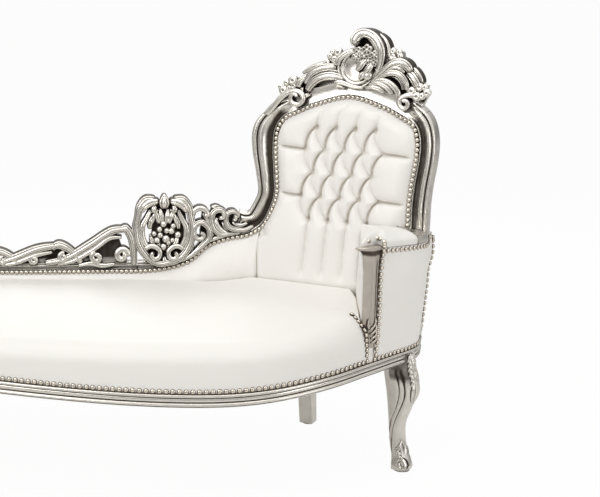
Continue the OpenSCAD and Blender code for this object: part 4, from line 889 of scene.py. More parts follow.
CART_STROKES = both_ways([
    ([(-454, 624), (-427, 623), (-410, 603), (-405, 578), (-400, 551), (-402, 524), (-410, 497),
      (-425, 474), (-445, 457), (-468, 447), (-484, 443)],
      [6, 8.6, 8.6, 8, 8.6, 8.6, 8.6, 8.2, 7.8, 7, 6.4],
     [16, 20, 20, 19, 18, 18, 18, 17, 16, 15, 14], "veined"),
    ([(-441, 599), (-430, 574), (-418, 551), (-417, 526), (-425, 503), (-439, 487)],
     [4.2, 5.6, 6.4, 6.4, 6, 4.2], [10, 14, 15, 15, 14, 10], "leaf"),
    ([(-424, 487), (-437, 496), (-454, 495), (-466, 483), (-463, 467), (-451, 463), (-443, 473),
      (-450, 482)],
     [5, 5.4, 5.4, 5.2, 5, 4.6, 4.2, 3.8], [16, 17, 18, 18, 19, 20, 21, 22], "round"),
    ([(-464, 619), (-443, 617), (-424, 606), (-412, 588)], [5, 8, 8, 5], [18, 24, 24, 18], "leaf"),
    ([(-454, 612), (-449, 598), (-457, 586)], [4.2, 6.6, 3.4], [14, 19, 14], "leaf"),
    ([(-462, 598), (-450, 578), (-444, 556)], [3, 5, 3], [6, 10, 6], "round")])
CART_STROKES += [([(CART_G, 596), (CART_G, 616), (CART_G, 636)], [7, 12, 5], [16, 24, 16], "veined"),
                 ([(CART_G, 470), (CART_G + 2, 456), (CART_G, 444)], [4, 7, 4], [10, 14, 8], "leaf")]
CART_STROKES += both_ways([
    ([(CART_G + a, 556), (CART_G + 1.5 * a, 578), (CART_G + 2.4 * a, 600)], [3, 5.4, 3], [8, 14, 8],
     "leaf")
    for a in (5, 13)])
CART_STROKES += both_ways([
    ([(CART_G + 16, 482), (CART_G + 30, 500), (CART_G + 38, 524)], [4, 7, 4], [4, 9, 5], "leaf"),
    ([(CART_G + 40, 540), (CART_G + 38, 562), (CART_G + 26, 584)], [4, 7, 4], [4, 9, 5], "leaf"),
    ([(CART_G + 6, 478), (CART_G + 14, 494), (CART_G + 16, 508)], [4, 6, 3], [3, 7, 4], "leaf"),
    ([(CART_G + 60, 470), (CART_G + 72, 492), (CART_G + 76, 520)], [2, 4, 3], [4, 8, 5], "leaf")])
CART_STROKES = clear_of_nails(CART_STROKES)
BERRIES = [(-473, 516, 9), (-458, 537, 7.4), (-440, 527, 7.8), (-471, 538, 6.4), (-453, 551, 6.4),
           (-480, 494, 8.2), (-466, 505, 6), (-489, 526, 6.6), (-498, 512, 7.6), (-491, 542, 6.6),
           (-480, 556, 7.2), (-506, 530, 6), (-464, 566, 5.6), (-494, 566, 5.6), (-455, 512, 6),
           (-496, 492, 6)]
carved_length("cartouche_carving", "cartouche_rail", K_TAIL + KNOT_GAP, K_CART - KNOT_GAP, (110, 120),
              CART_STROKES, BERRIES, 215)


# %% Tail: the same scrolls, falling towards the foot end
def tail_point(t, h):
    """t from 0 beside the cartouche to 1 at the tail's end, h over the nail line."""
    return mix(CART_G - 88, TAIL_END, t), mix(CART - 8, CART - 14, t) + h


def on_tail(rows):
    return [([tail_point(t, h) for t, h in p], *rest) for p, *rest in rows]


def volute(t, h, r, start, turns, w, top):
    """A spiral that winds in from its foot to a raised eye."""
    a = np.radians(start) + 2 * math.pi * turns * np.linspace(0, 1, 12)
    radius = np.linspace(r, 0.28 * r, 12)
    g, z = tail_point(t, h)
    return (np.stack([g + radius * np.cos(a), z + radius * np.sin(a)], -1), [w, 0.9 * w, 0.65 * w],
            [top, top, 1.4 * top], "round")


TAIL_STROKES = on_tail([
    ([(-0.01, 12), (0.0, 84), (0.03, 116), (0.06, 110)], [6, 9, 9, 6], [12, 16, 17, 12], "veined"),
    ([(0.02, 114), (0.1, 110), (0.2, 74), (0.32, 36), (0.42, 24)], [6, 9, 10, 8, 6],
     [14, 17, 16, 13, 8], "veined"),
    ([(0.05, 92), (0.11, 90), (0.18, 62), (0.28, 30), (0.36, 20)], [3, 5, 5, 5, 3], [10, 13, 13, 10, 6],
     "round"),
    ([(0.08, 20), (0.14, 16), (0.2, 22), (0.26, 16)], [3, 5, 5, 3], [8, 11, 11, 7], "leaf"),
    ([(0.24, 22), (0.29, 56), (0.35, 74), (0.39, 62)], [6, 8, 9, 6], [10, 14, 16, 10], "veined"),
    ([(0.36, 72), (0.46, 62), (0.58, 36), (0.68, 24)], [6, 9, 9, 5], [12, 15, 13, 8], "veined"),
    ([(0.38, 54), (0.46, 46), (0.55, 27), (0.63, 18)], [3, 5, 5, 3], [9, 12, 11, 6], "round"),
    ([(0.54, 22), (0.59, 46), (0.65, 58), (0.7, 46)], [5, 8, 8, 5], [10, 13, 14, 10], "veined"),
    ([(0.66, 54), (0.76, 46), (0.88, 30), (0.97, 24)], [5, 8, 8, 5], [10, 13, 11, 7], "veined"),
    ([(0.68, 36), (0.76, 31), (0.84, 21), (0.92, 15)], [3, 5, 5, 3], [8, 11, 9, 5], "round")])
TAIL_STROKES += [volute(0.05, 44, 18, -20, 1.3, 8, 14), volute(0.17, 40, 15, 90, 1.2, 7, 14),
                 volute(0.33, 40, 12, 60, 1.2, 6, 13), volute(0.47, 34, 11, 90, 1.2, 6, 12),
                 volute(0.62, 32, 10, 60, 1.2, 5.4, 12), volute(0.94, 28, 15, 90, 1.2, 7, 14)]
TAIL_STROKES = clear_of_nails(TAIL_STROKES)
carved_length("tail_scrolls", "tail_rail", 2 * KNOT_GAP, K_TAIL - KNOT_GAP, (200, 220),
              TAIL_STROKES, [], 150)

# %% [markdown]
# ## Cabriole legs
# A cabriole leg is sawn from a thick block in two curves: it swells at the knee, draws in at the
# ankle and turns out at the toe. Rings of points follow that double curve. A leaf is laid on the
# knee, a scroll on the toe, and a short length of the rail's moulding runs over the top block.

# %% Leg sections: height, set-back, half width, half depth, shift along the rail
LEG = line([(3, 5, 19, 22, 20), (14, 8, 20, 25, 20), (30, 4, 18, 23, 17), (52, -6, 17, 19, 13),
            (85, -15, 17, 18, 9.5), (120, -18, 18, 19, 7), (160, -14, 24, 27, 4), (200, -10, 32, 35, 1),
            (235, -14, 35, 37, 0), (262, -20, 34, 34, 0), (282, -14, 29, 26, 0), (313, -15, 29, 19, 0)],
            110)
LEG[:, 0] = np.maximum.accumulate(LEG[:, 0])


def leg_at(z):
    """The leg's section at a height."""
    return look_up(LEG, LEG[:, 0], z)


def squared(t):
    """How far a rounded square stands out over a circle at angles t."""
    return 1 / mix(1, np.maximum(abs(np.cos(t)), abs(np.sin(t))), 0.6)


class LegPlace:
    """Places points on one leg: a runs along the rail, q outward from the leg's face."""

    def __init__(self, u, side):
        self.side = side   # 1 or -1: which way along the rail the seat's middle lies
        self.c = rim(u)
        self.h = look_up(RIM_H, RIM_U, u)
        self.n = np.array([self.h[1], -self.h[0]])

    def put(self, x, y, z):
        """x along the rail, y outward from the seat's line."""
        x, y, z = arrays(x, y, z)
        return with_height(self.c + x[..., None] * self.h + y[..., None] * self.n, z)

    def front(self, a, z, q):
        """Lays a drawing on the leg's face, which falls away at its sides."""
        a, z, q = arrays(a, z, q)
        s = leg_at(z)
        fall = np.sqrt(np.clip(1 - (np.abs(a) / s[..., 2]) ** 3.2, 0.02, 1))
        return self.put(self.side * s[..., 4] + a, s[..., 1] + s[..., 3] * fall + q, z)

    def around(self, m, z, q):
        """Wraps a drawing round the leg: m is 2.5 degrees from the front, towards the piece's middle."""
        m, z, q = arrays(m, z, q)
        s = leg_at(z)
        t = np.radians(90 - self.side * m * 2.5)
        square = squared(t)
        return self.put(self.side * s[..., 4] + (s[..., 2] * square + q) * np.cos(t),
                        s[..., 1] + (s[..., 3] * square + q) * np.sin(t), z)

    def flank(self, b, z, q):
        """Lays a drawing on the side that looks to the seat's middle."""
        b, z, q = arrays(b, z, q)
        s = leg_at(z)
        return self.put(self.side * s[..., 4] + self.side * (s[..., 2] + q), s[..., 1] + b, z)


KNEE_LEAF = [([(0, 305), (1, 270), (2, 236), (6, 200), (8, 176)], [4, 6, 6, 5, 2], [5, 9, 8, 5, 1],
              "leaf"),
             ([(-4, 236), (-11, 214), (-9, 194), (-1, 178)], [3, 5, 4.4, 2], [2, 6, 5, 1], "leaf"),
             ([(8, 236), (17, 214), (16, 192), (10, 170)], [3, 5, 4.4, 2], [2, 6, 5, 1], "leaf")]
for leaf_z in range(300, 236, -12):   # short leaflets on both sides of the rib
    for way in (-1, 1):
        KNEE_LEAF.append(([(way * 2, leaf_z), (way * 10, leaf_z - 5), (way * 15, leaf_z - 17)],
                          [3, 4.6, 2], [4, 7, 2], "leaf"))
ANKLE_LEAF = [([(10, 80), (20, 64), (34, 50), (40, 33)], [2, 4, 5, 3], [2, 5, 5, 2], "leaf"),
              ([(10, 78), (2, 64), (4, 48), (16, 36)], [2, 4, 4, 2], [2, 4, 4, 1], "leaf"),
              ([(36, 46), (26, 48), (18, 44)], [2, 3, 1.6], [3, 5, 3], "leaf"),
              ([(39, 38), (28, 41), (20, 37)], [2, 3, 1.6], [3, 5, 3], "leaf"),
              ([(-26, 30), (-20, 50), (-12, 66)], [2, 3, 2], [1, 3, 1], "leaf")]
# Height, and angles from the front, of the two carved lines down a leg
LEG_LINE = line([(40, 137, 150), (68, 122, 145), (99, 104, 132), (130, 80, 112), (159, 63, 88),
                 (188, 54, 78), (226, 52, 74), (262, 56, 78)], 80)


def leg_body(bm, place):
    """The turned-out leg itself, with two carved lines down each side, painted shade in the cove under the
    seat and a darker back.
    """
    t = np.radians(np.arange(0, 360, 3))
    c, n = np.cos(t), np.sin(t)
    s = LEG[:, None]
    z = s[..., 0]
    off = np.degrees(np.abs(t - math.pi / 2))
    first, second = [look_up(LEG_LINE, LEG_LINE[:, 0], z)[..., i] for i in (1, 2)]
    groove = np.exp(-((off - first) / 3.6) ** 2) + 0.8 * np.exp(-((off - second) / 3.6) ** 2)
    groove = groove * ease((z - 30) / 20) * ease((270 - z) / 20)
    inward = np.clip(place.side * c, 0, 1)
    # The cove under the seat gets painted shade, and the back of the leg is painted a little darker.
    cove_shade = 0.75 * ease(inward * 3) * ease((z - 222) / 26) * (n > -0.4)
    square, shrink = squared(t), 1 - 0.08 * groove
    rows = place.put(place.side * s[..., 4] + s[..., 2] * c * square * shrink,
                     s[..., 1] + s[..., 3] * n * square * shrink, z)
    cover(bm, rows, np.minimum(1.15 * groove + cove_shade + 0.3 * (n < -0.5), 1), ring=True)


def leg(name, u, side):
    place = LegPlace(u, side)
    bm = begin()
    leg_body(bm, place)
    rows, hollow = rail_rows(along(u, -BLOCK_END + GAP), along(u, BLOCK_END - GAP), 20)
    low = rows[:, -3, 2].copy()
    rows[:, -3, 2] = rows[:, 0, 2] = low.mean() + 2
    cover(bm, rows, hollow, ring=True)
    for shape in KNEE_LEAF:
        stroke(bm, *shape, lay=place.front, ground=-4, foot=-8, pace=4)
    for shape in ANKLE_LEAF:
        stroke(bm, *shape, lay=place.around, ground=-3, foot=-6, pace=3)
    coil = np.radians(200) - np.linspace(0, 2.4 * math.pi, 14)   # the toe's scroll winds in towards its eye
    r = np.linspace(17, 4, 14)
    points = np.stack([12 + r * np.cos(coil), 21 + r * np.sin(coil)], -1)
    stroke(bm, points, [5, 4.4, 3.4], [3, 4, 6], lay=place.flank, ground=-4, foot=-9, pace=3)
    silvered(bm, name + "_carved", name, sharp=50)


leg("front_right_leg", U_RIGHT, -1)
leg("front_left_leg", U_LEFT, 1)

# %% [markdown]
# ## Padding
# Horsehair and foam under a tight covering always swell between their nails. Each pad is a closed
# mesh whose rings or rows follow the frame and swell where nothing holds the covering down. The
# tufts are drawn as a field: the distance to the nearest fold sets how deep the covering lies and
# how dark the painted shade along the fold is.

# %% Sizes of the padding
BACK_PAD, TUFT_D = 31.0, 24.0   # swell of the backs, depth of a tuft
TUFT_W, TUFT_H, TUFT_Z = 54.9, 61.7, 585.0   # steps between the tufts, height of their lowest row
PAD_FOOT, DECK_TOP = 373.0, 353.6   # foot of the back panels, underside of the cushion
EDGE_H, EDGE_R, CROWN, REAR_R = 46.0, 60.0, 22.0, 14.0   # seat: front edge, its turn, crown, rear turn
EDGE_Z = DECK_TOP + 2 + EDGE_H
REAR_Z = EDGE_Z + 8
print("seat's edge at", EDGE_Z, "crown at", EDGE_Z + CROWN)


def seam_g(z):
    """Where the covering of the high back meets that of the low back."""
    return -223 + 0.116 * (520 - np.asarray(z, float))


def least_of(*values, soft=10.0):
    """The smallest of several distances, with rounded transitions."""
    low = np.minimum.reduce(values)
    return low - soft * np.log(sum(np.exp((low - v) / soft) for v in values))


def side_of(z, first, last, m):
    """g of the nail line at a height, m millimetres outside, between two knots."""
    part = (KNOT >= first) & (KNOT <= last)
    p = BACK[part] + m * OUTWARD[part]
    order = np.argsort(BACK[part][:, 1])
    return np.interp(z, BACK[part][order, 1], p[order, 0])


def half_right(z, m):
    """Right edge of the high back's covering, m millimetres outside its nail line."""
    return side_of(z, 20, KNOTS, m)


def half_left(z, m):
    """Left edge: the nail line above, the seam with the low back below."""
    z = np.asarray(z, float)
    return -least_of(-seam_g(z) - NAIL_EDGE + m, -side_of(z, 8, 16, m), soft=2.0)


def arch_z(g, m):
    """Height of the nail line over the arch."""
    part = (KNOT >= 15) & (KNOT <= 21)
    p = BACK[part] + m * OUTWARD[part]
    return np.interp(g, p[:, 0], p[:, 1])


def low_swell(g, z):
    """How far the low back swells: from nothing under its nails to the full pad, less at the seam."""
    d = low_edge(g) - NAIL_EDGE - np.maximum(z, REAR_Z - REAR_R)
    at_seam = mix(0.78, 1, ease((seam_g(z) - g) / 9))
    return BACK_PAD * (1 - (1 - np.clip(d / 85, 0, 1)) ** 2.4) * (d >= 0) * at_seam


# %% Field of tufts: rows of four and five, folds between neighbours and out to the edges
def tufts():
    """Rows of tufts (g, z) from below."""
    return [[((j - (4 if i % 2 else 3) / 2) * TUFT_W,
              TUFT_Z + i * TUFT_H) for j in range(5 if i % 2 else 4)]
            for i in range(5)]


def bent(p, q, by, strength, width):
    """A fold from p to q, drawn towards a third point, with its strength at both ends and its width."""
    t = np.linspace(0, 1, 8)[:, None]
    p, q, by = [np.array(v, float) for v in (p, q, by)]
    return (1 - t) ** 2 * p + 2 * t * (1 - t) * by + t ** 2 * q, strength, width


def folds():
    """Every fold of the field: between neighbours, out to both sides, up to the arch, down to the seat."""
    rows, found = tufts(), []
    for lower, upper in zip(rows, rows[1:]):
        for p in lower:
            for q in upper:
                step, rise = q[0] - p[0], q[1] - p[1]
                if 0 < step < TUFT_W:   # crisp: up from the lower tuft, then over to the right
                    found.append(bent(p, q, (p[0] + 0.02 * step, p[1] + 0.82 * rise), (1.0, 1.0), 5.0))
                elif -TUFT_W < step < 0:   # soft: out to the left, then up into the tuft
                    found.append(bent(p, q, (q[0] + 0.02 * step, p[1] + 0.3 * rise), (0.9, 0.75), 11.0))
    for row in (rows[1], rows[3]):
        for p, edge, lift in ((row[0], -200, 6), (row[-1], 200, -8)):
            found.append(bent(p, (edge, p[1] + lift), (0.5 * (p[0] + edge), p[1] + 2), (1.0, 0.95), 4.6))
    for p in rows[-1]:
        found.append(bent(p, (p[0] + 26, ARCH - 12), (p[0] + 4, p[1] + 34), (0.8, 0.1), 7.0))
    for p in rows[0]:
        found.append(bent(p, (p[0] * 1.03, PAD_FOOT), (p[0], 480), (0.8, 0.4), 4.6))
    return found


def fold_depth(g, z):
    """0 on a pillow, near 1 along a fold, more in a tuft; and how dark the fold's painted shade is."""
    p = np.stack([g, z], -1)
    depth, dark = np.zeros(g.shape), np.zeros(g.shape)
    for path, (start, end), width in folds():
        for i, (a, b) in enumerate(zip(path, path[1:])):
            t = np.clip((p - a) @ (b - a) / ((b - a) @ (b - a)), 0, 1)
            d = np.linalg.norm(p - a - t[..., None] * (b - a), axis=-1)
            level = mix(start, end, (i + t) / (len(path) - 1))
            depth = np.maximum(depth, level * (0.55 * np.exp(-d / width) + 0.45 * np.exp(-d / 13)))
            dark = np.maximum(dark, level * np.exp(-(d / 1.7) ** 2) * (width < 8))
    for a in [q for row in tufts() for q in row]:
        d = np.linalg.norm(p - np.array(a), axis=-1)
        depth = depth + 0.4 * np.exp(-(d / 8) ** 1.5)
        dark = dark + 0.6 * np.exp(-(d / 4) ** 2)
    return depth, np.clip(dark, 0, 1)


# %% High back panel
def closed_sheet(bm, front, back, hollow=0.0):
    """A grid with a front and a back, joined round its edges."""
    rows = np.concatenate([front, back[:, ::-1]], 1)
    shade = np.broadcast_to(hollow, front.shape[:2])
    cover(bm, rows, np.concatenate([shade, np.zeros(back.shape[:2])], 1), ring=True)


v = np.concatenate([[0, 0.006], np.linspace(0.012, 0.985, 200), [0.992, 1]])[:, None]
t = np.concatenate([[0, 0.012], np.linspace(0.022, 0.978, 170), [0.988, 1]])[None, :]
edge = NAIL_EDGE - GAP
CORNER_Z, CORNER_G = 847.0, 184.0   # where the sides turn into the arch
z_side = mix(PAD_FOOT, CORNER_Z, v)
g = mix(half_left(z_side, edge), half_right(z_side, edge), t)
top = arch_z(mix(-CORNER_G, CORNER_G, t), edge)
z = mix(PAD_FOOT, top, v)
g = mix(g, mix(half_left(CORNER_Z, edge), half_right(CORNER_Z, edge), t), ease((v - 0.8) / 0.2))
free = 70 * ease((LOW + 12 - z) / 45)   # beside the low back nothing holds the covering down
inset = least_of(g - half_left(z_side, -NAIL_EDGE) + free * (g < 0), half_right(z_side, -NAIL_EDGE) - g,
                 arch_z(g, -NAIL_EDGE) - z, soft=7.0)
roll = np.clip(inset / 34, 0, 1)
swell = (1 - (1 - roll) ** 2.2) * mix(0.78, 1, ease((g - seam_g(z)) / 9))
pad = mix(BACK_PAD, 0.8 * BACK_PAD, ease((z - LEAN_Z) / 420))
depth, dark = fold_depth(g, z)
dip = TUFT_D * depth * ease(inset / 22) * ease((z - 425) / 30)
front = back_at(g, z, np.maximum(swell * pad - dip, 0))
bm = begin()
# The dark folds and tufts go into the leather's colour as painted shade.
closed_sheet(bm, front, back_at(g, z, -REBATE + 2 * GAP), dark)
padding(bm, "high_back_tufting", "high_back_panel")

# %% Low back panel
n, m = 170, 40
s = np.linspace(0, 1, n + 1)[:, None] ** 1.2
t = np.linspace(0, 1, m + 1)[None, :]
low_end = TAIL_END + 8
edge = low_edge(mix(-222.0, low_end, s))
NAILED = 0.93   # the last rows lie flat under the nails
z = np.where(t < NAILED, mix(PAD_FOOT, edge - NAIL_EDGE, t / NAILED),
             edge + mix(-NAIL_EDGE, NAIL_EDGE - 2.5, (t - NAILED) / 0.07))
g = mix(seam_g(z) - GAP, low_end, s)
front = back_at(g, z, low_swell(g, z))
bm = begin()
seam_dark = 0.6 * np.exp(-((seam_g(z) - g) / 2) ** 2)
closed_sheet(bm, front, back_at(g, z, -REBATE + 2 * GAP), seam_dark)
padding(bm, "low_back_padding", "low_back_panel")

# %% Arm: its outer side flares upwards, its inner side runs straight back
POST_Z, POST_W = np.array([(344, 9), (352, 11), (368, 13), (385, 14), (410, 14.5), (490, 14.5),
                           (530, 15), (568, 19), (584, 24), (590, 24)], float).T   # heights and half widths
ARM_Z, ARM_FALL, POST_D = 596.0, 22.0, 23.0   # arm's height at the post, its fall to the back, post's depth
ARM_REAR_G, INNER_G = 249.0, 76.0   # where the arm's outer and inner side meet the high back


def spline_at(points, t):
    """Smooth curve through a list of point arrays, t from 0 to 1 for each."""
    last = len(points) - 1
    shape = np.broadcast_shapes(*[p.shape for p in points], np.shape(t) + (2,))
    p = np.stack([np.broadcast_to(q, shape) for q in points])
    x = np.broadcast_to(np.clip(t, 0, 1) * last, shape[:-1])
    i = np.minimum(x.astype(int), last - 1)
    f = (x - i)[..., None]

    def pick(j):
        return np.take_along_axis(p, np.clip(j, 0, last)[None, ..., None], 0)[0]
    return between(pick(i - 1), pick(i), pick(i + 1), pick(i + 2), f)


def post_half(z):
    return np.interp(z, POST_Z, POST_W)


def arm_top(t):
    """Height of the arm's covering: it falls to the back, a little more at its end."""
    t = np.asarray(t, float)
    return ARM_Z - ARM_FALL * t - 6 * ease((t - 0.74) / 0.26)


def arm_outer(t, z):
    """Plan point of the arm's outer side, t from 0 at the post to 1 at the back."""
    t, z = arrays(t, z)
    f = np.clip((z - NAIL_LOW) / (ARM_Z - NAIL_LOW), 0, 1)
    wide = ease((z - 470) / 55)   # the covering spreads over the rail inside the arm's top
    ends = [back_at(ARM_REAR_G - 9 * (1 - wide), z, q)[..., :2] for q in (8, BACK_Q)]
    over_rail = [rim(along(U_POST, post_half(z) + GAP), 1 + 4 * f),
                 rim(along(U_POST, 84), mix(7, 10.6, wide) * f),
                 rim(U_RIGHT, mix(6, 16.6, wide) * f),
                 rim(along(U_RIGHT, 62), 1 + mix(1, 14.6, wide) * f)]
    return spline_at(over_rail + ends, t)


def arm_skin(t, z, d):
    """Point d millimetres outside the arm's outer side."""
    t, z = arrays(t, z)
    e = arm_outer(np.minimum(t + 0.01, 1), z) - arm_outer(np.maximum(t - 0.01, 0), z)
    n = np.stack([e[..., 1], -e[..., 0]], -1) / np.linalg.norm(e, axis=-1)[..., None]
    return with_height(arm_outer(t, z) + np.asarray(d)[..., None] * n, z)


def arm_inner(t, z):
    """Plan point of the arm's inner side."""
    t, z = arrays(t, z)
    far = back_at(INNER_G, z, BACK_PAD + 1.5)[..., :2]
    near = rim(along(U_POST, -np.interp(z, [ARM_Z - 60, ARM_Z], [14, 24])), -POST_D - 1)
    return mix(near, far, t[..., None])


def arm_nail_z(t):
    """Height of the nails along the foot of the arm."""
    return nail_z(arm_outer(t, NAIL_LOW)[..., 0])


def arm_bow(b):
    """How far the covering bows out between its foot at 0 and its top at 1, beside its end seams."""
    return np.interp(b, [0, 0.12, 0.5, 0.92, 1], [0, 3, 6, 3, 0])


# %% Arm: the outer panel, with a strip of covering under the post
t, b = np.linspace(0, 1, 91)[:, None], np.linspace(0, 1, 61)[None, :]
z = mix(arm_nail_z(t) - NAIL_EDGE + GAP, arm_top(t), b)
bow = arm_bow(b) + 5 * np.sin(np.pi * t) ** 0.5 * np.sin(np.pi * b) ** 0.7
bm = begin()
closed_sheet(bm, arm_skin(t, z, bow), arm_skin(t, z, np.full(z.shape, -REBATE + 5 * GAP)))
post_foot = nail_z(rim(U_POST)[0]) - NAIL_EDGE + GAP
strip_x, strip_z = np.meshgrid(np.linspace(-11, 11, 7), np.linspace(post_foot, 352, 9))
strip = LegPlace(U_POST, 1)
closed_sheet(bm, strip.put(strip_x, 2.0 - 0.01 * strip_x ** 2, strip_z),
             strip.put(strip_x, 0.4, strip_z))
padding(bm, "arm_outer_padding", "arm_outer_panel")

# %% Arm: the inner panel
t, b = np.linspace(0, 1, 61)[:, None], np.linspace(0, 1, 41)[None, :]
z = mix(DECK_TOP + 0.4, arm_top(t), b)
into = mix(np.array([1.0, 0.0]), np.array([math.cos(TURN), -math.sin(TURN)]), t[..., None])
xy = arm_inner(t, z) - 2.5 * (np.sin(np.pi * t) * np.sin(np.pi * b))[..., None] * into
bm = begin()
closed_sheet(bm, with_height(xy, z), with_height(arm_inner(t, z) + 8 * into, z))
padding(bm, "arm_inner_padding", "arm_inner_panel")

# %% Arm pad: a rounded bolster that ends where the stile's block begins
ARM_END, BACK_HOLD = 0.4, 150.0   # where the pad leaves the arm's outer side, and g where it meets the back
UNDER_PAD = ARM_Z - 20   # height at which the pad's outline is read
PER_STEP = 5
K = np.arange(0, 42, 1 / PER_STEP)   # steps round the pad: outer side to 20, rear to 30, inner side to 40
SIDE_T = np.select([K <= 20, K <= 30, K < 40],
                   [mix(0.02, ARM_END, K / 20), 1.0, mix(0.94, 0.06, (K - 31) / 8)], 0.0)
SIDE_T = np.clip(SIDE_T, 0, 1)
pad_end = arm_outer(ARM_END, arm_top(ARM_END))
at_back = back_at(BACK_HOLD, UNDER_PAD, BACK_PAD + 4)[:2]
along_back = back_at(mix(BACK_HOLD, INNER_G + 6, (K - 26) / 4), UNDER_PAD, BACK_PAD + 4)[:, :2]
rear = np.where((K < 26)[:, None], mix(pad_end, at_back, ((K - 20) / 6)[:, None]), along_back)
behind_post = rim(along(U_POST, mix(-16, 28, np.clip(K - 40, 0, 1.4))), -POST_D + 2)
sides = [arm_outer(SIDE_T, arm_top(SIDE_T)), rear, arm_inner(SIDE_T, np.full(K.shape, UNDER_PAD))]
PLAN = np.select([(K <= 20)[:, None], (K <= 30)[:, None], (K < 40)[:, None]], sides, behind_post)
for _ in range(6):
    PLAN = 0.25 * np.roll(PLAN, 1, 0) + 0.5 * PLAN + 0.25 * np.roll(PLAN, -1, 0)
PAD_MID = np.array([676.0, -300.0])
pad_end_z = arm_top(ARM_END)
behind_end = np.where(K <= 26, pad_end_z, mix(pad_end_z, ARM_Z, (K - 26) / 16))
PAD_Z = np.where(K <= 20, arm_top(SIDE_T), behind_end)
PAD_TALL, PAD_LOW = 36.0, 2.0   # height of the bolster, and of the flat part behind it
BEHIND = ease((K - 21) / 3) * ease((38.5 - K) / 3.5)   # 1 where the pad runs out flat towards the back
PAD_EDGE = line([(3, 0), (1, 1.2), (-0.6, 6), (-0.4, 12), (2.5, 18), (8, 23), (17, 28.5), (28, 32.5),
                 (42, 35), (60, PAD_TALL)], 60)


def pad_ring(d, h, least=0.0):
    """A ring of the pad: d millimetres in from its outline, at least a share of the way, h over its foot."""
    v = PAD_MID - PLAN
    f = np.clip(d / np.linalg.norm(v, axis=1), least, 0.97)
    xy = PLAN + v * f[:, None]
    flat = np.minimum(h, PAD_LOW) + (PAD_TALL - PAD_LOW) * ease((f - 0.25) / 0.7)
    return with_height(xy, mix(PAD_Z, arm_top(0.2), f) + 2 * GAP + mix(h, flat, BEHIND))


rows = [pad_ring(d, h) for d, h in PAD_EDGE]
rows += [pad_ring(60, PAD_TALL, least) for least in np.arange(0.34, 0.96, 0.06)]
bm = begin()
cover(bm, np.stack(rows), ring=True)
padding(bm, "arm_pad_cover", "arm_pad")

# %% Cap over the arm's rail, between the bolster and the stile
s = np.linspace(0, 1, 25)[:, None]
t = mix(ARM_END + 0.02, 0.97, s)
outer = arm_skin(t, arm_top(t), np.full(t.shape, -1.5))[:, 0]
inner = back_at(mix(BACK_HOLD + 14, ARM_REAR_G - 6, s[:, 0]), arm_top(t[:, 0]), 12.0)
low, high = 0.8, 7.0
UP = np.array([0.0, 0.0, 1.0])
across = np.array([(0, low), (0, high - 1.5), (0.03, high), (0.97, high), (1, high - 1.5), (1, low)])
rows = mix(outer[:, None], inner[:, None], across[None, :, :1]) + across[None, :, 1:] * UP
bm = begin()
cover(bm, rows, 0.45, ring=True)
silvered(bm, "arm_rear_cap", "right_stile")


# %% [markdown]
# ## Seat
# The seat is one long cushion. Its covering is nailed all round the front, so it rises straight
# from the nails, turns over a deep shoulder and crowns towards the middle, while at the rear and
# beside the arm it tucks in tightly.

# %% Seat cushion
FOOT_G = -690 - BEND_P[0] + BEND_B   # g of the foot end's first point
FRONT_N, REAR_N = 44, 150
seat_k = np.concatenate([np.linspace(0, FRONT_N, 353), [FRONT_N + 1], np.linspace(46, 49, 7),
                         np.full(REAR_N, 50.0)])   # front to 44, beside the arm to 49, rear at 50
is_front = seat_k <= FRONT_N + 1
is_inner = (seat_k > FRONT_N + 1) & (seat_k < 50)
is_rear = seat_k == 50
rear_line = mix(INNER_G - 12, FOOT_G, np.linspace(0, 1, REAR_N))


def rear_q(g, z):
    """How far forward the cushion's rear side stands: before the high back, the low back, past the tail."""
    low = 3 + low_swell(g, np.maximum(z, PAD_FOOT))
    return np.where(g > seam_g(400) - 34, BACK_PAD + 1.5, np.where(g < TAIL_END, 17.0, low))


def seat_side(z):
    """Outline of the cushion at a height, or at a height for each of its points."""
    z = np.broadcast_to(np.asarray(z, float), seat_k.shape)
    u = np.where(seat_k <= FRONT_N, mix(0.006, along(U_POST, -post_half(z) - 0.6), seat_k / FRONT_N),
                 along(U_POST, -post_half(z) - 4.0))
    p = rim(u, np.minimum(FRONT_N - seat_k, 0) * is_front)
    ti, zi = (seat_k[is_inner] - 46) / 4.5, z[is_inner]
    p[is_inner] = mix(arm_inner(0.0, zi), arm_inner(1.0, zi), ti[:, None]) \
        - np.stack([np.where(seat_k[is_inner] == 46, 2.0, 0.8), np.zeros(ti.shape)], -1)
    p[is_rear] = back_at(rear_line, z[is_rear], rear_q(rear_line, z[is_rear]))[:, :2]
    return p


def seat_reach(z):
    """The outline, the points of the middle line that it draws in to, and how far away they are."""
    p = seat_side(z)
    c = np.stack([np.clip(p[:, 0], -600, 470), np.full(len(p), -250.0)], -1)
    return p, c, np.linalg.norm(p - c, axis=1)


def seat_ring(d, f, z):
    """A ring of the cushion: d millimetres in from its outline, and at least the share f of the way."""
    p, c, r = seat_reach(z)
    xy = mix(p, c, np.maximum(np.asarray(d) / r, f)[:, None])
    return with_height(xy, np.broadcast_to(z, r.shape))


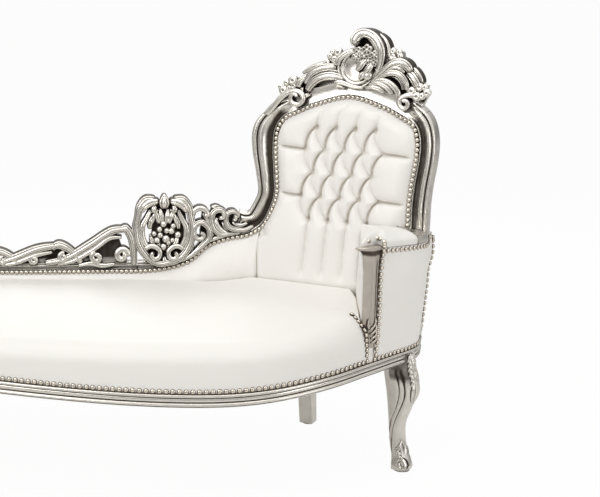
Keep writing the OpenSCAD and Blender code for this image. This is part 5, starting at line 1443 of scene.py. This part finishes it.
# %% Seat cushion: rings from the underside up the front, over the shoulder and in to the crown
by_post = np.where(seat_k > FRONT_N, 1 - ease((seat_k - FRONT_N - 0.5) / 1.7), ease((seat_k + 1) / 7))
fronted = np.where(seat_k > 49, 0, by_post)   # 1 where the tall nailed front is, 0 where the seat tucks in
raised = np.zeros(seat_k.shape)   # the seat stands higher where it meets the high back and the arm
raised[is_rear] = 13 * ease((rear_line + 360) / 160)
raised[is_inner] = mix(17.0, 13.0, (seat_k[is_inner] - 46) / 3)
shoulder = EDGE_Z + 26 * ease((seat_k - 35) / 8)   # the front's upper edge climbs towards the arm post
tuck = np.where(is_inner, 5.0, REAR_R)
skirt = seat_k <= FRONT_N
foot = nail_z(seat_side(DECK)[:, 0]) - NAIL_EDGE + GAP
low = np.where(skirt, foot, DECK_TOP)
rings = [seat_ring(0, 0.75, DECK_TOP), seat_ring(1.5, 0, DECK_TOP),
         seat_ring(np.where(skirt, 1.2, 0.5), 0, low), seat_ring(0, 0, low)]
start = mix(REAR_Z - tuck + raised, EDGE_Z - EDGE_H, fronted)
for t in np.linspace(0, 1, 12)[1:-1]:
    bulge = -2.6 * np.sin(np.pi * ease((t - 0.15) / 0.85)) * fronted
    rings.append(seat_ring(bulge, 0, mix(low, start, t)))
last_d = mix(tuck, EDGE_R, fronted)
for a in np.linspace(0, np.pi / 2, 18):
    over = REAR_Z - tuck * (1 - np.sin(a)) + raised
    front_z = mix(EDGE_Z - EDGE_H, shoulder, np.sin(a))
    rings.append(seat_ring(last_d * (1 - np.cos(a)), 0, mix(over, front_z, fronted)))
begin_f = last_d / seat_reach(EDGE_Z)[2]
for s in np.linspace(0, 1, 26)[1:]:
    f = mix(begin_f, 0.985, s)
    h = 1 - (1 - s) ** 1.9
    z = mix(mix(REAR_Z + raised, shoulder, fronted), EDGE_Z + CROWN, h)
    rings.append(seat_ring(last_d, f, z))
bm = begin()
cover(bm, np.stack(rings), ring=True)
padding(bm, "seat_cushion_cover", "seat_cushion")

# %% Coverings on the outside of the backs, stretched over the frame
COVER_Q, COVER_CORNER = BACK_Q - 0.7, 837.0   # inner side of the coverings, height of the upper corners
t, v = np.linspace(-1, 1, 61)[None, :], np.linspace(0, 1, 91)[:, None]
z_side = mix(DECK + GAP, COVER_CORNER, v)
g = t * half_right(z_side, 0.6 * FRAME_W)
crown_z = arch_z(np.clip(g, -170, 170), 14) - 30 * np.abs(t)
z = mix(DECK + GAP, mix(COVER_CORNER, crown_z, ease((v - 0.7) / 0.3)), v)
give = 2.5 * np.sin(np.pi * np.clip(v, 0, 1)) * np.cos(np.pi * t / 2)
outer = back_at(g, z, COVER_Q - 2 - give)
bm = begin()
closed_sheet(bm, back_at(g, z, np.full(z.shape, COVER_Q)), outer)
padding(bm, "high_back_outside", "high_back_cover")

g = mix(-195 - 0.6 * FRAME_W - 1, TAIL_END + 8, np.linspace(0, 1, 121) ** 1.3)[:, None]
t = np.linspace(0, 1, 25)[None, :]
z = mix(DECK + GAP, low_edge(g) + 8, t)
bm = begin()
outer = back_at(g, z, COVER_Q - 2 - 1.5 * np.sin(np.pi * t))
closed_sheet(bm, back_at(g, z, np.full(z.shape, COVER_Q)), outer)
padding(bm, "low_back_outside", "low_back_cover")

# %% [markdown]
# ## Arm post
# The post is a flat pilaster with a thin lip at its top that turns out over the seat. Its left side
# is rubbed down to a warmer, darker silver, as hands wear it.

# %% Arm post
# Height, reach to the left, and set-back of that side
LIP = np.array([(344, 9, -17), (352, 11, -17), (368, 13, -17), (385, 14, -17), (410, 15, -17),
                (490, 16.5, -17), (540, 17, -17), (568, 18, -18), (583, 20, -20), (590, 23, -24),
                (593, 28, -31), (595, 30, -34), (598, 30, -34), (600, 27, -31)], float)
post_z = np.concatenate([np.linspace(350.5, 564, 60), np.linspace(567, 600, 36)])
a = np.linspace(1, -1, 61)
left, deep = [np.interp(post_z, LIP[:, 0], LIP[:, col])[:, None] for col in (1, 2)]
right = post_half(post_z)[:, None]
plain = ease((576 - post_z) / 20)[:, None]
flutes = 2.6 * np.exp(-((a - 0.42) / 0.09) ** 2) + 1.0 * np.exp(-((a + 0.3) / 0.06) ** 2)
turn = np.clip(-a, 0, 1) * math.pi / 2
x = np.where(a > 0, a * right, -left * np.sin(turn))
y = np.where(a > 0, 5.5 * (1 - a ** 8), deep + (5.5 - deep) * np.cos(turn)) - flutes * plain
rear_y, column = 6 - POST_D, np.ones((len(post_z), 1))
back_x = np.concatenate([-left * 0.96, right * 0.98, right], 1)
back_y = np.concatenate([np.minimum(deep, rear_y) - 0.5, rear_y * column, -6.0 * column], 1)
x, y = np.concatenate([x, back_x], 1), np.concatenate([y, back_y], 1)
post = LegPlace(U_POST, 1)
worn = 0.35 * np.exp(-((a - 0.15) / 0.3) ** 2)
hollow = np.concatenate([flutes / 2.2 * plain + worn, np.tile([0.2, 0.2, 0.2], (len(post_z), 1))], 1)
# A painted shadow band under the lip.
shadow_under_lip = 0.9 * ease((post_z - 573) / 12) * (post_z < 593)
hollow = np.maximum(hollow, shadow_under_lip[:, None])
bm = begin()
cover(bm, post.put(x, y, np.broadcast_to(post_z[:, None], x.shape)), hollow, ring=True)


def on_post(a, z, q):
    """Lays a drawing on the post's face."""
    return post.put(a, q, z)


SHELL = [([(9, 424), (3, 408), (-12, 397)], [2.4, 3, 2], [8, 11, 8]),
         ([(12, 408), (7, 395), (-9, 385)], [2.4, 3, 2], [8, 11, 8]),
         ([(13, 393), (8, 381), (-7, 374)], [2.4, 3, 2], [8, 11, 8]),
         ([(12, 377), (6, 368), (-6, 363)], [2.2, 2.6, 1.8], [8, 11, 8]),
         ([(-14, 424), (-17, 412), (-13, 402), (-8, 410)], [2, 3, 3, 2], [4, 6, 6, 4])]
for points, widths, tops in SHELL:
    stroke(bm, points, widths, tops, lay=on_post, ground=2, foot=-2, pace=1.6)
silvered(bm, "arm_post_carved", "arm_post", sharp=50, finish=POST_SILVER)

# %% [markdown]
# ## Decorative nails
# Domed upholstery nails are driven head to head along every edge of the covering. One low dome is
# set again and again at equal steps along the lines, square to the surface, and painted shade
# darkens the foot of each head.

# %% One nail, and a row of them
NAIL_R, CORNER_NAIL_R, NAIL_H = 6.3, 5.6, 4.6
PITCH, CLOSE_PITCH = 15.6, 13.2


def nail(bm, centre, normal, radius=NAIL_R):
    """A flattened ball whose lower half is in the covering."""
    made = bmesh.ops.create_uvsphere(bm, u_segments=14, v_segments=8, radius=1)["verts"]
    v = np.array([x.co[:] for x in made])
    turn = np.array(Vector(normal).to_track_quat("Z", "Y").to_matrix())
    # The foot of each head is painted dark as shade where it meets the covering.
    settle(bm, made, v * [radius, radius, NAIL_H] @ turn.T + centre, 0.95 * ease((0.66 - v[:, 2]) / 0.4))


def nail_row(bm, path, normals, pitch=PITCH):
    """Nails at equal steps along a path of points."""
    s = lengths(path)
    steps = np.linspace(0, s[-1], max(int(round(s[-1] / pitch)), 1) + 1)
    for p, n in zip(look_up(path, s, steps), look_up(normals, s, steps)):
        nail(bm, p, n)


# %% Seat nails: along the rail, up the seat's end and over its shoulder
u = np.linspace(0.012, along(U_POST, -12), 1500)
h = look_up(RIM_H, RIM_U, u)
flat = np.stack([h[:, 1], -h[:, 0], np.zeros(len(u))], -1)
bm = begin()
nail_row(bm, with_height(rim(u, 0.3), nail_z(rim(u)[:, 0])), flat)
# Inset from the rail's line, height, and tilt of the nails that climb beside the post
WELT = line([(0, nail_z(rim(U_POST)[0]) + PITCH, 0), (0, 366, 0), (0, 379, 5), (2, 392, 20),
             (11, 402, 40), (22, 412, 50), (34, 421, 62), (46, 428, 72)], 60)
BESIDE_POST = 5
tilt = np.radians(WELT[:, 2])[:, None]
welt_path = np.stack([np.append(rim(along(U_POST, -post_half(h) - BESIDE_POST), 0.3 - inset), h)
                      for inset, h, _ in WELT])
nail_row(bm, welt_path, flat[-1] * np.cos(tilt) + UP * np.sin(tilt), CLOSE_PITCH)
finish_piece(bm, "seat_nail_heads", ["seat_nails"], NAIL)

# %% Nails of the backs and of the arm
k = np.linspace(0.28, 26.4, 3000)
at = beside(k, 0.0)
a = turn_at(at[:, 0])
tilt = math.atan(LEAN)
square_on = np.stack([-np.sin(a) * math.cos(tilt), -np.cos(a) * math.cos(tilt),
                      np.full(len(a), math.sin(tilt))], -1)
bm = begin()
nail_row(bm, back_at(at[:, 0], at[:, 1], 0.6), square_on, CLOSE_PITCH)
finish_piece(bm, "back_nail_heads", ["high_back_nails", "low_back_nails"], NAIL)

bm = begin()
t = np.linspace(0.02, 0.985, 300)
facing = arm_skin(t, np.full(300, ARM_Z), np.ones(300)) - arm_skin(t, np.full(300, ARM_Z), np.zeros(300))
nail_row(bm, arm_skin(t, arm_top(t) - 7, np.full(300, 1.6)), facing)
nail_row(bm, arm_skin(t, arm_nail_z(t), np.full(300, 1.3)), facing)
b = np.linspace(0.06, 0.94, 60)
for side_t, shift, normal in ((0.012, 0.018, facing[0]), (0.985, 0.0, facing[-1])):
    t = side_t + shift * ease((0.35 - b) / 0.3)   # the post is slimmer at its foot, so the nails move over
    z = mix(arm_nail_z(t) - NAIL_EDGE + GAP, arm_top(t), b)
    nail_row(bm, arm_skin(t, z, arm_bow(b) + 1.2), np.tile(normal, (60, 1)))
PAD_NAILS = ((40.4, 17), (41.2, 19), (41.8, 18), (0.6, 15), (1.1, 9), (1.2, 3),
             (20, 4), (20.2, 12), (20.4, 19))   # steps round the pad, heights over its foot
for k, h in PAD_NAILS:
    i = int(round(k * PER_STEP)) % len(K)
    face = PLAN[i] - PAD_MID
    face = face / np.linalg.norm(face)
    inset = np.interp(h, [0, 12, 18, 22], [-0.5, -0.5, 2.5, 8])
    centre = [*(PLAN[i] - inset * face), PAD_Z[i] + h]
    nail(bm, centre, (*face, 0.15 + 0.05 * max(h - 12, 0)), CORNER_NAIL_R)
finish_piece(bm, "arm_nail_heads", ["arm_nails"], NAIL)

# %% Finishes of the pieces that stay as modelled
for names, finish in ((("rear_rail", "head_rail", "rear_right_leg", "rear_left_leg"), SILVER),
                      (("corner_blocks", "back_posts", "arm_rail"), BARE), (("seat_webbing",), WEB),
                      (("leg_glides",), FELT)):
    for name in names:
        for holder in nodes[name].material_slots:
            holder.material = finish
        print(name, "gets", finish.name)

# %% [markdown]
# ## Studio
# A catalogue photograph: white floor and background, one large soft lamp from the front left, one
# above, a weaker one from the right and one from behind. The white behind the piece comes from the
# camera's own rays, so the lamps need not be so strong that the covering burns out.

# %% Floor and surroundings
FLOOR_HALF = 60.0
bm = bmesh.new()
bmesh.ops.create_grid(bm, x_segments=1, y_segments=1, size=FLOOR_HALF)
floor_mesh = bpy.data.meshes.new("studio_floor")
bm.to_mesh(floor_mesh)
bm.free()
floor = bpy.data.objects.new("studio_floor", floor_mesh)
bpy.context.scene.collection.objects.link(floor)
PAPER, add, link, plain = new_material("white_paper")
plain.inputs["Base Color"].default_value = (0.86, 0.86, 0.86, 1)
plain.inputs["Roughness"].default_value = 0.9
glow = add("ShaderNodeEmission")
ray = add("ShaderNodeLightPath")
seen = math_node(add, "MULTIPLY", 0.96)
link(ray.outputs["Is Camera Ray"], seen.inputs[0])
mirrored = math_node(add, "MULTIPLY", 0.3)
link(ray.outputs["Is Glossy Ray"], mirrored.inputs[0])
lit = math_node(add, "MAXIMUM")
link(seen.outputs[0], lit.inputs[0])
link(mirrored.outputs[0], lit.inputs[1])
either = add("ShaderNodeMixShader")
link(lit.outputs[0], either.inputs[0])
link(plain.outputs["BSDF"], either.inputs[1])
link(glow.outputs["Emission"], either.inputs[2])
link(either.outputs["Shader"], PAPER.node_tree.nodes["Material Output"].inputs["Surface"])
floor_mesh.materials.append(PAPER)
print("floor:", floor.name, "with", PAPER.name)

# %% World: white to the camera, a soft sky to the metal, a warm even light to the rest
world = bpy.data.worlds.new("studio")
bpy.context.scene.world = world
world.use_nodes = True
add, link = tree_nodes(world.node_tree), world.node_tree.links.new
room = world.node_tree.nodes["Background"]
room.inputs["Color"].default_value = (1.0, 0.968, 0.925, 1)
room.inputs["Strength"].default_value = 0.44
white = add("ShaderNodeBackground")
white.inputs["Color"].default_value = (1, 1, 1, 1)
mirror = add("ShaderNodeBackground")
direction = add("ShaderNodeTexCoord")
upward = add("ShaderNodeSeparateXYZ")
link(direction.outputs["Generated"], upward.inputs[0])
height_tone = map_range(add, -0.1, 0.7, 0.14, 1.0)
link(upward.outputs["Z"], height_tone.inputs[0])
link(height_tone.outputs[0], mirror.inputs["Color"])
ray = add("ShaderNodeLightPath")
metal = add("ShaderNodeMixShader")
link(ray.outputs["Is Glossy Ray"], metal.inputs[0])
link(room.outputs[0], metal.inputs[1])
link(mirror.outputs[0], metal.inputs[2])
choice = add("ShaderNodeMixShader")
link(ray.outputs["Is Camera Ray"], choice.inputs[0])
link(metal.outputs[0], choice.inputs[1])
link(white.outputs[0], choice.inputs[2])
link(choice.outputs[0], world.node_tree.nodes["World Output"].inputs["Surface"])
print("world:", world.name, "strength", round(room.inputs["Strength"].default_value, 2))


# %% Lamps
def lamp(name, place, aim, size, power):
    """A rectangular soft lamp that looks at a point."""
    light = bpy.data.lights.new(name, "AREA")
    light.shape = "RECTANGLE"
    light.size, light.size_y = size
    light.energy = power
    piece = bpy.data.objects.new(name, light)
    piece.location = place
    piece.rotation_euler = (Vector(aim) - Vector(place)).to_track_quat("-Z", "Y").to_euler()
    bpy.context.scene.collection.objects.link(piece)
    print(name, power, "W")


lamp("key_softbox", (-2.2, -2.6, 3.0), (0.2, 0, 0.5), (2.2, 1.6), 60)
lamp("top_softbox", (0.2, -0.4, 3.4), (0.2, 0, 0.4), (3.0, 2.0), 33)
lamp("fill_softbox", (3.2, -2.2, 1.6), (0.5, 0, 0.6), (1.2, 1.6), 22)
lamp("back_softbox", (0.4, 3.2, 2.0), (0.2, 0, 0.5), (2.6, 1.4), 30)

# %% Camera at the photograph's angle
WIDTH, FOCAL_PX, CENTRE_PX, SENSOR = 600, 1487.2, 115, 36
CAMERA_BACK, CAMERA_HIGH, CAMERA_DOWN = 3922, 1.35, 12.1   # millimetres in the drawing, metres, degrees
camera_data = bpy.data.cameras.new("photo_camera")
camera_data.sensor_width = SENSOR
camera_data.lens = FOCAL_PX / WIDTH * SENSOR
camera_data.shift_x = (WIDTH / 2 - CENTRE_PX) / WIDTH
camera = bpy.data.objects.new("photo_camera", camera_data)
camera.location = (SHIFT[0] / 1000, (-CAMERA_BACK + SHIFT[1]) / 1000, CAMERA_HIGH)
camera.rotation_euler = (math.radians(90 - CAMERA_DOWN), 0, 0)
bpy.context.scene.collection.objects.link(camera)
bpy.context.scene.camera = camera
bpy.context.scene.view_settings.view_transform = "Standard"
print("camera:", camera.name, "lens", round(camera_data.lens, 1), "mm")
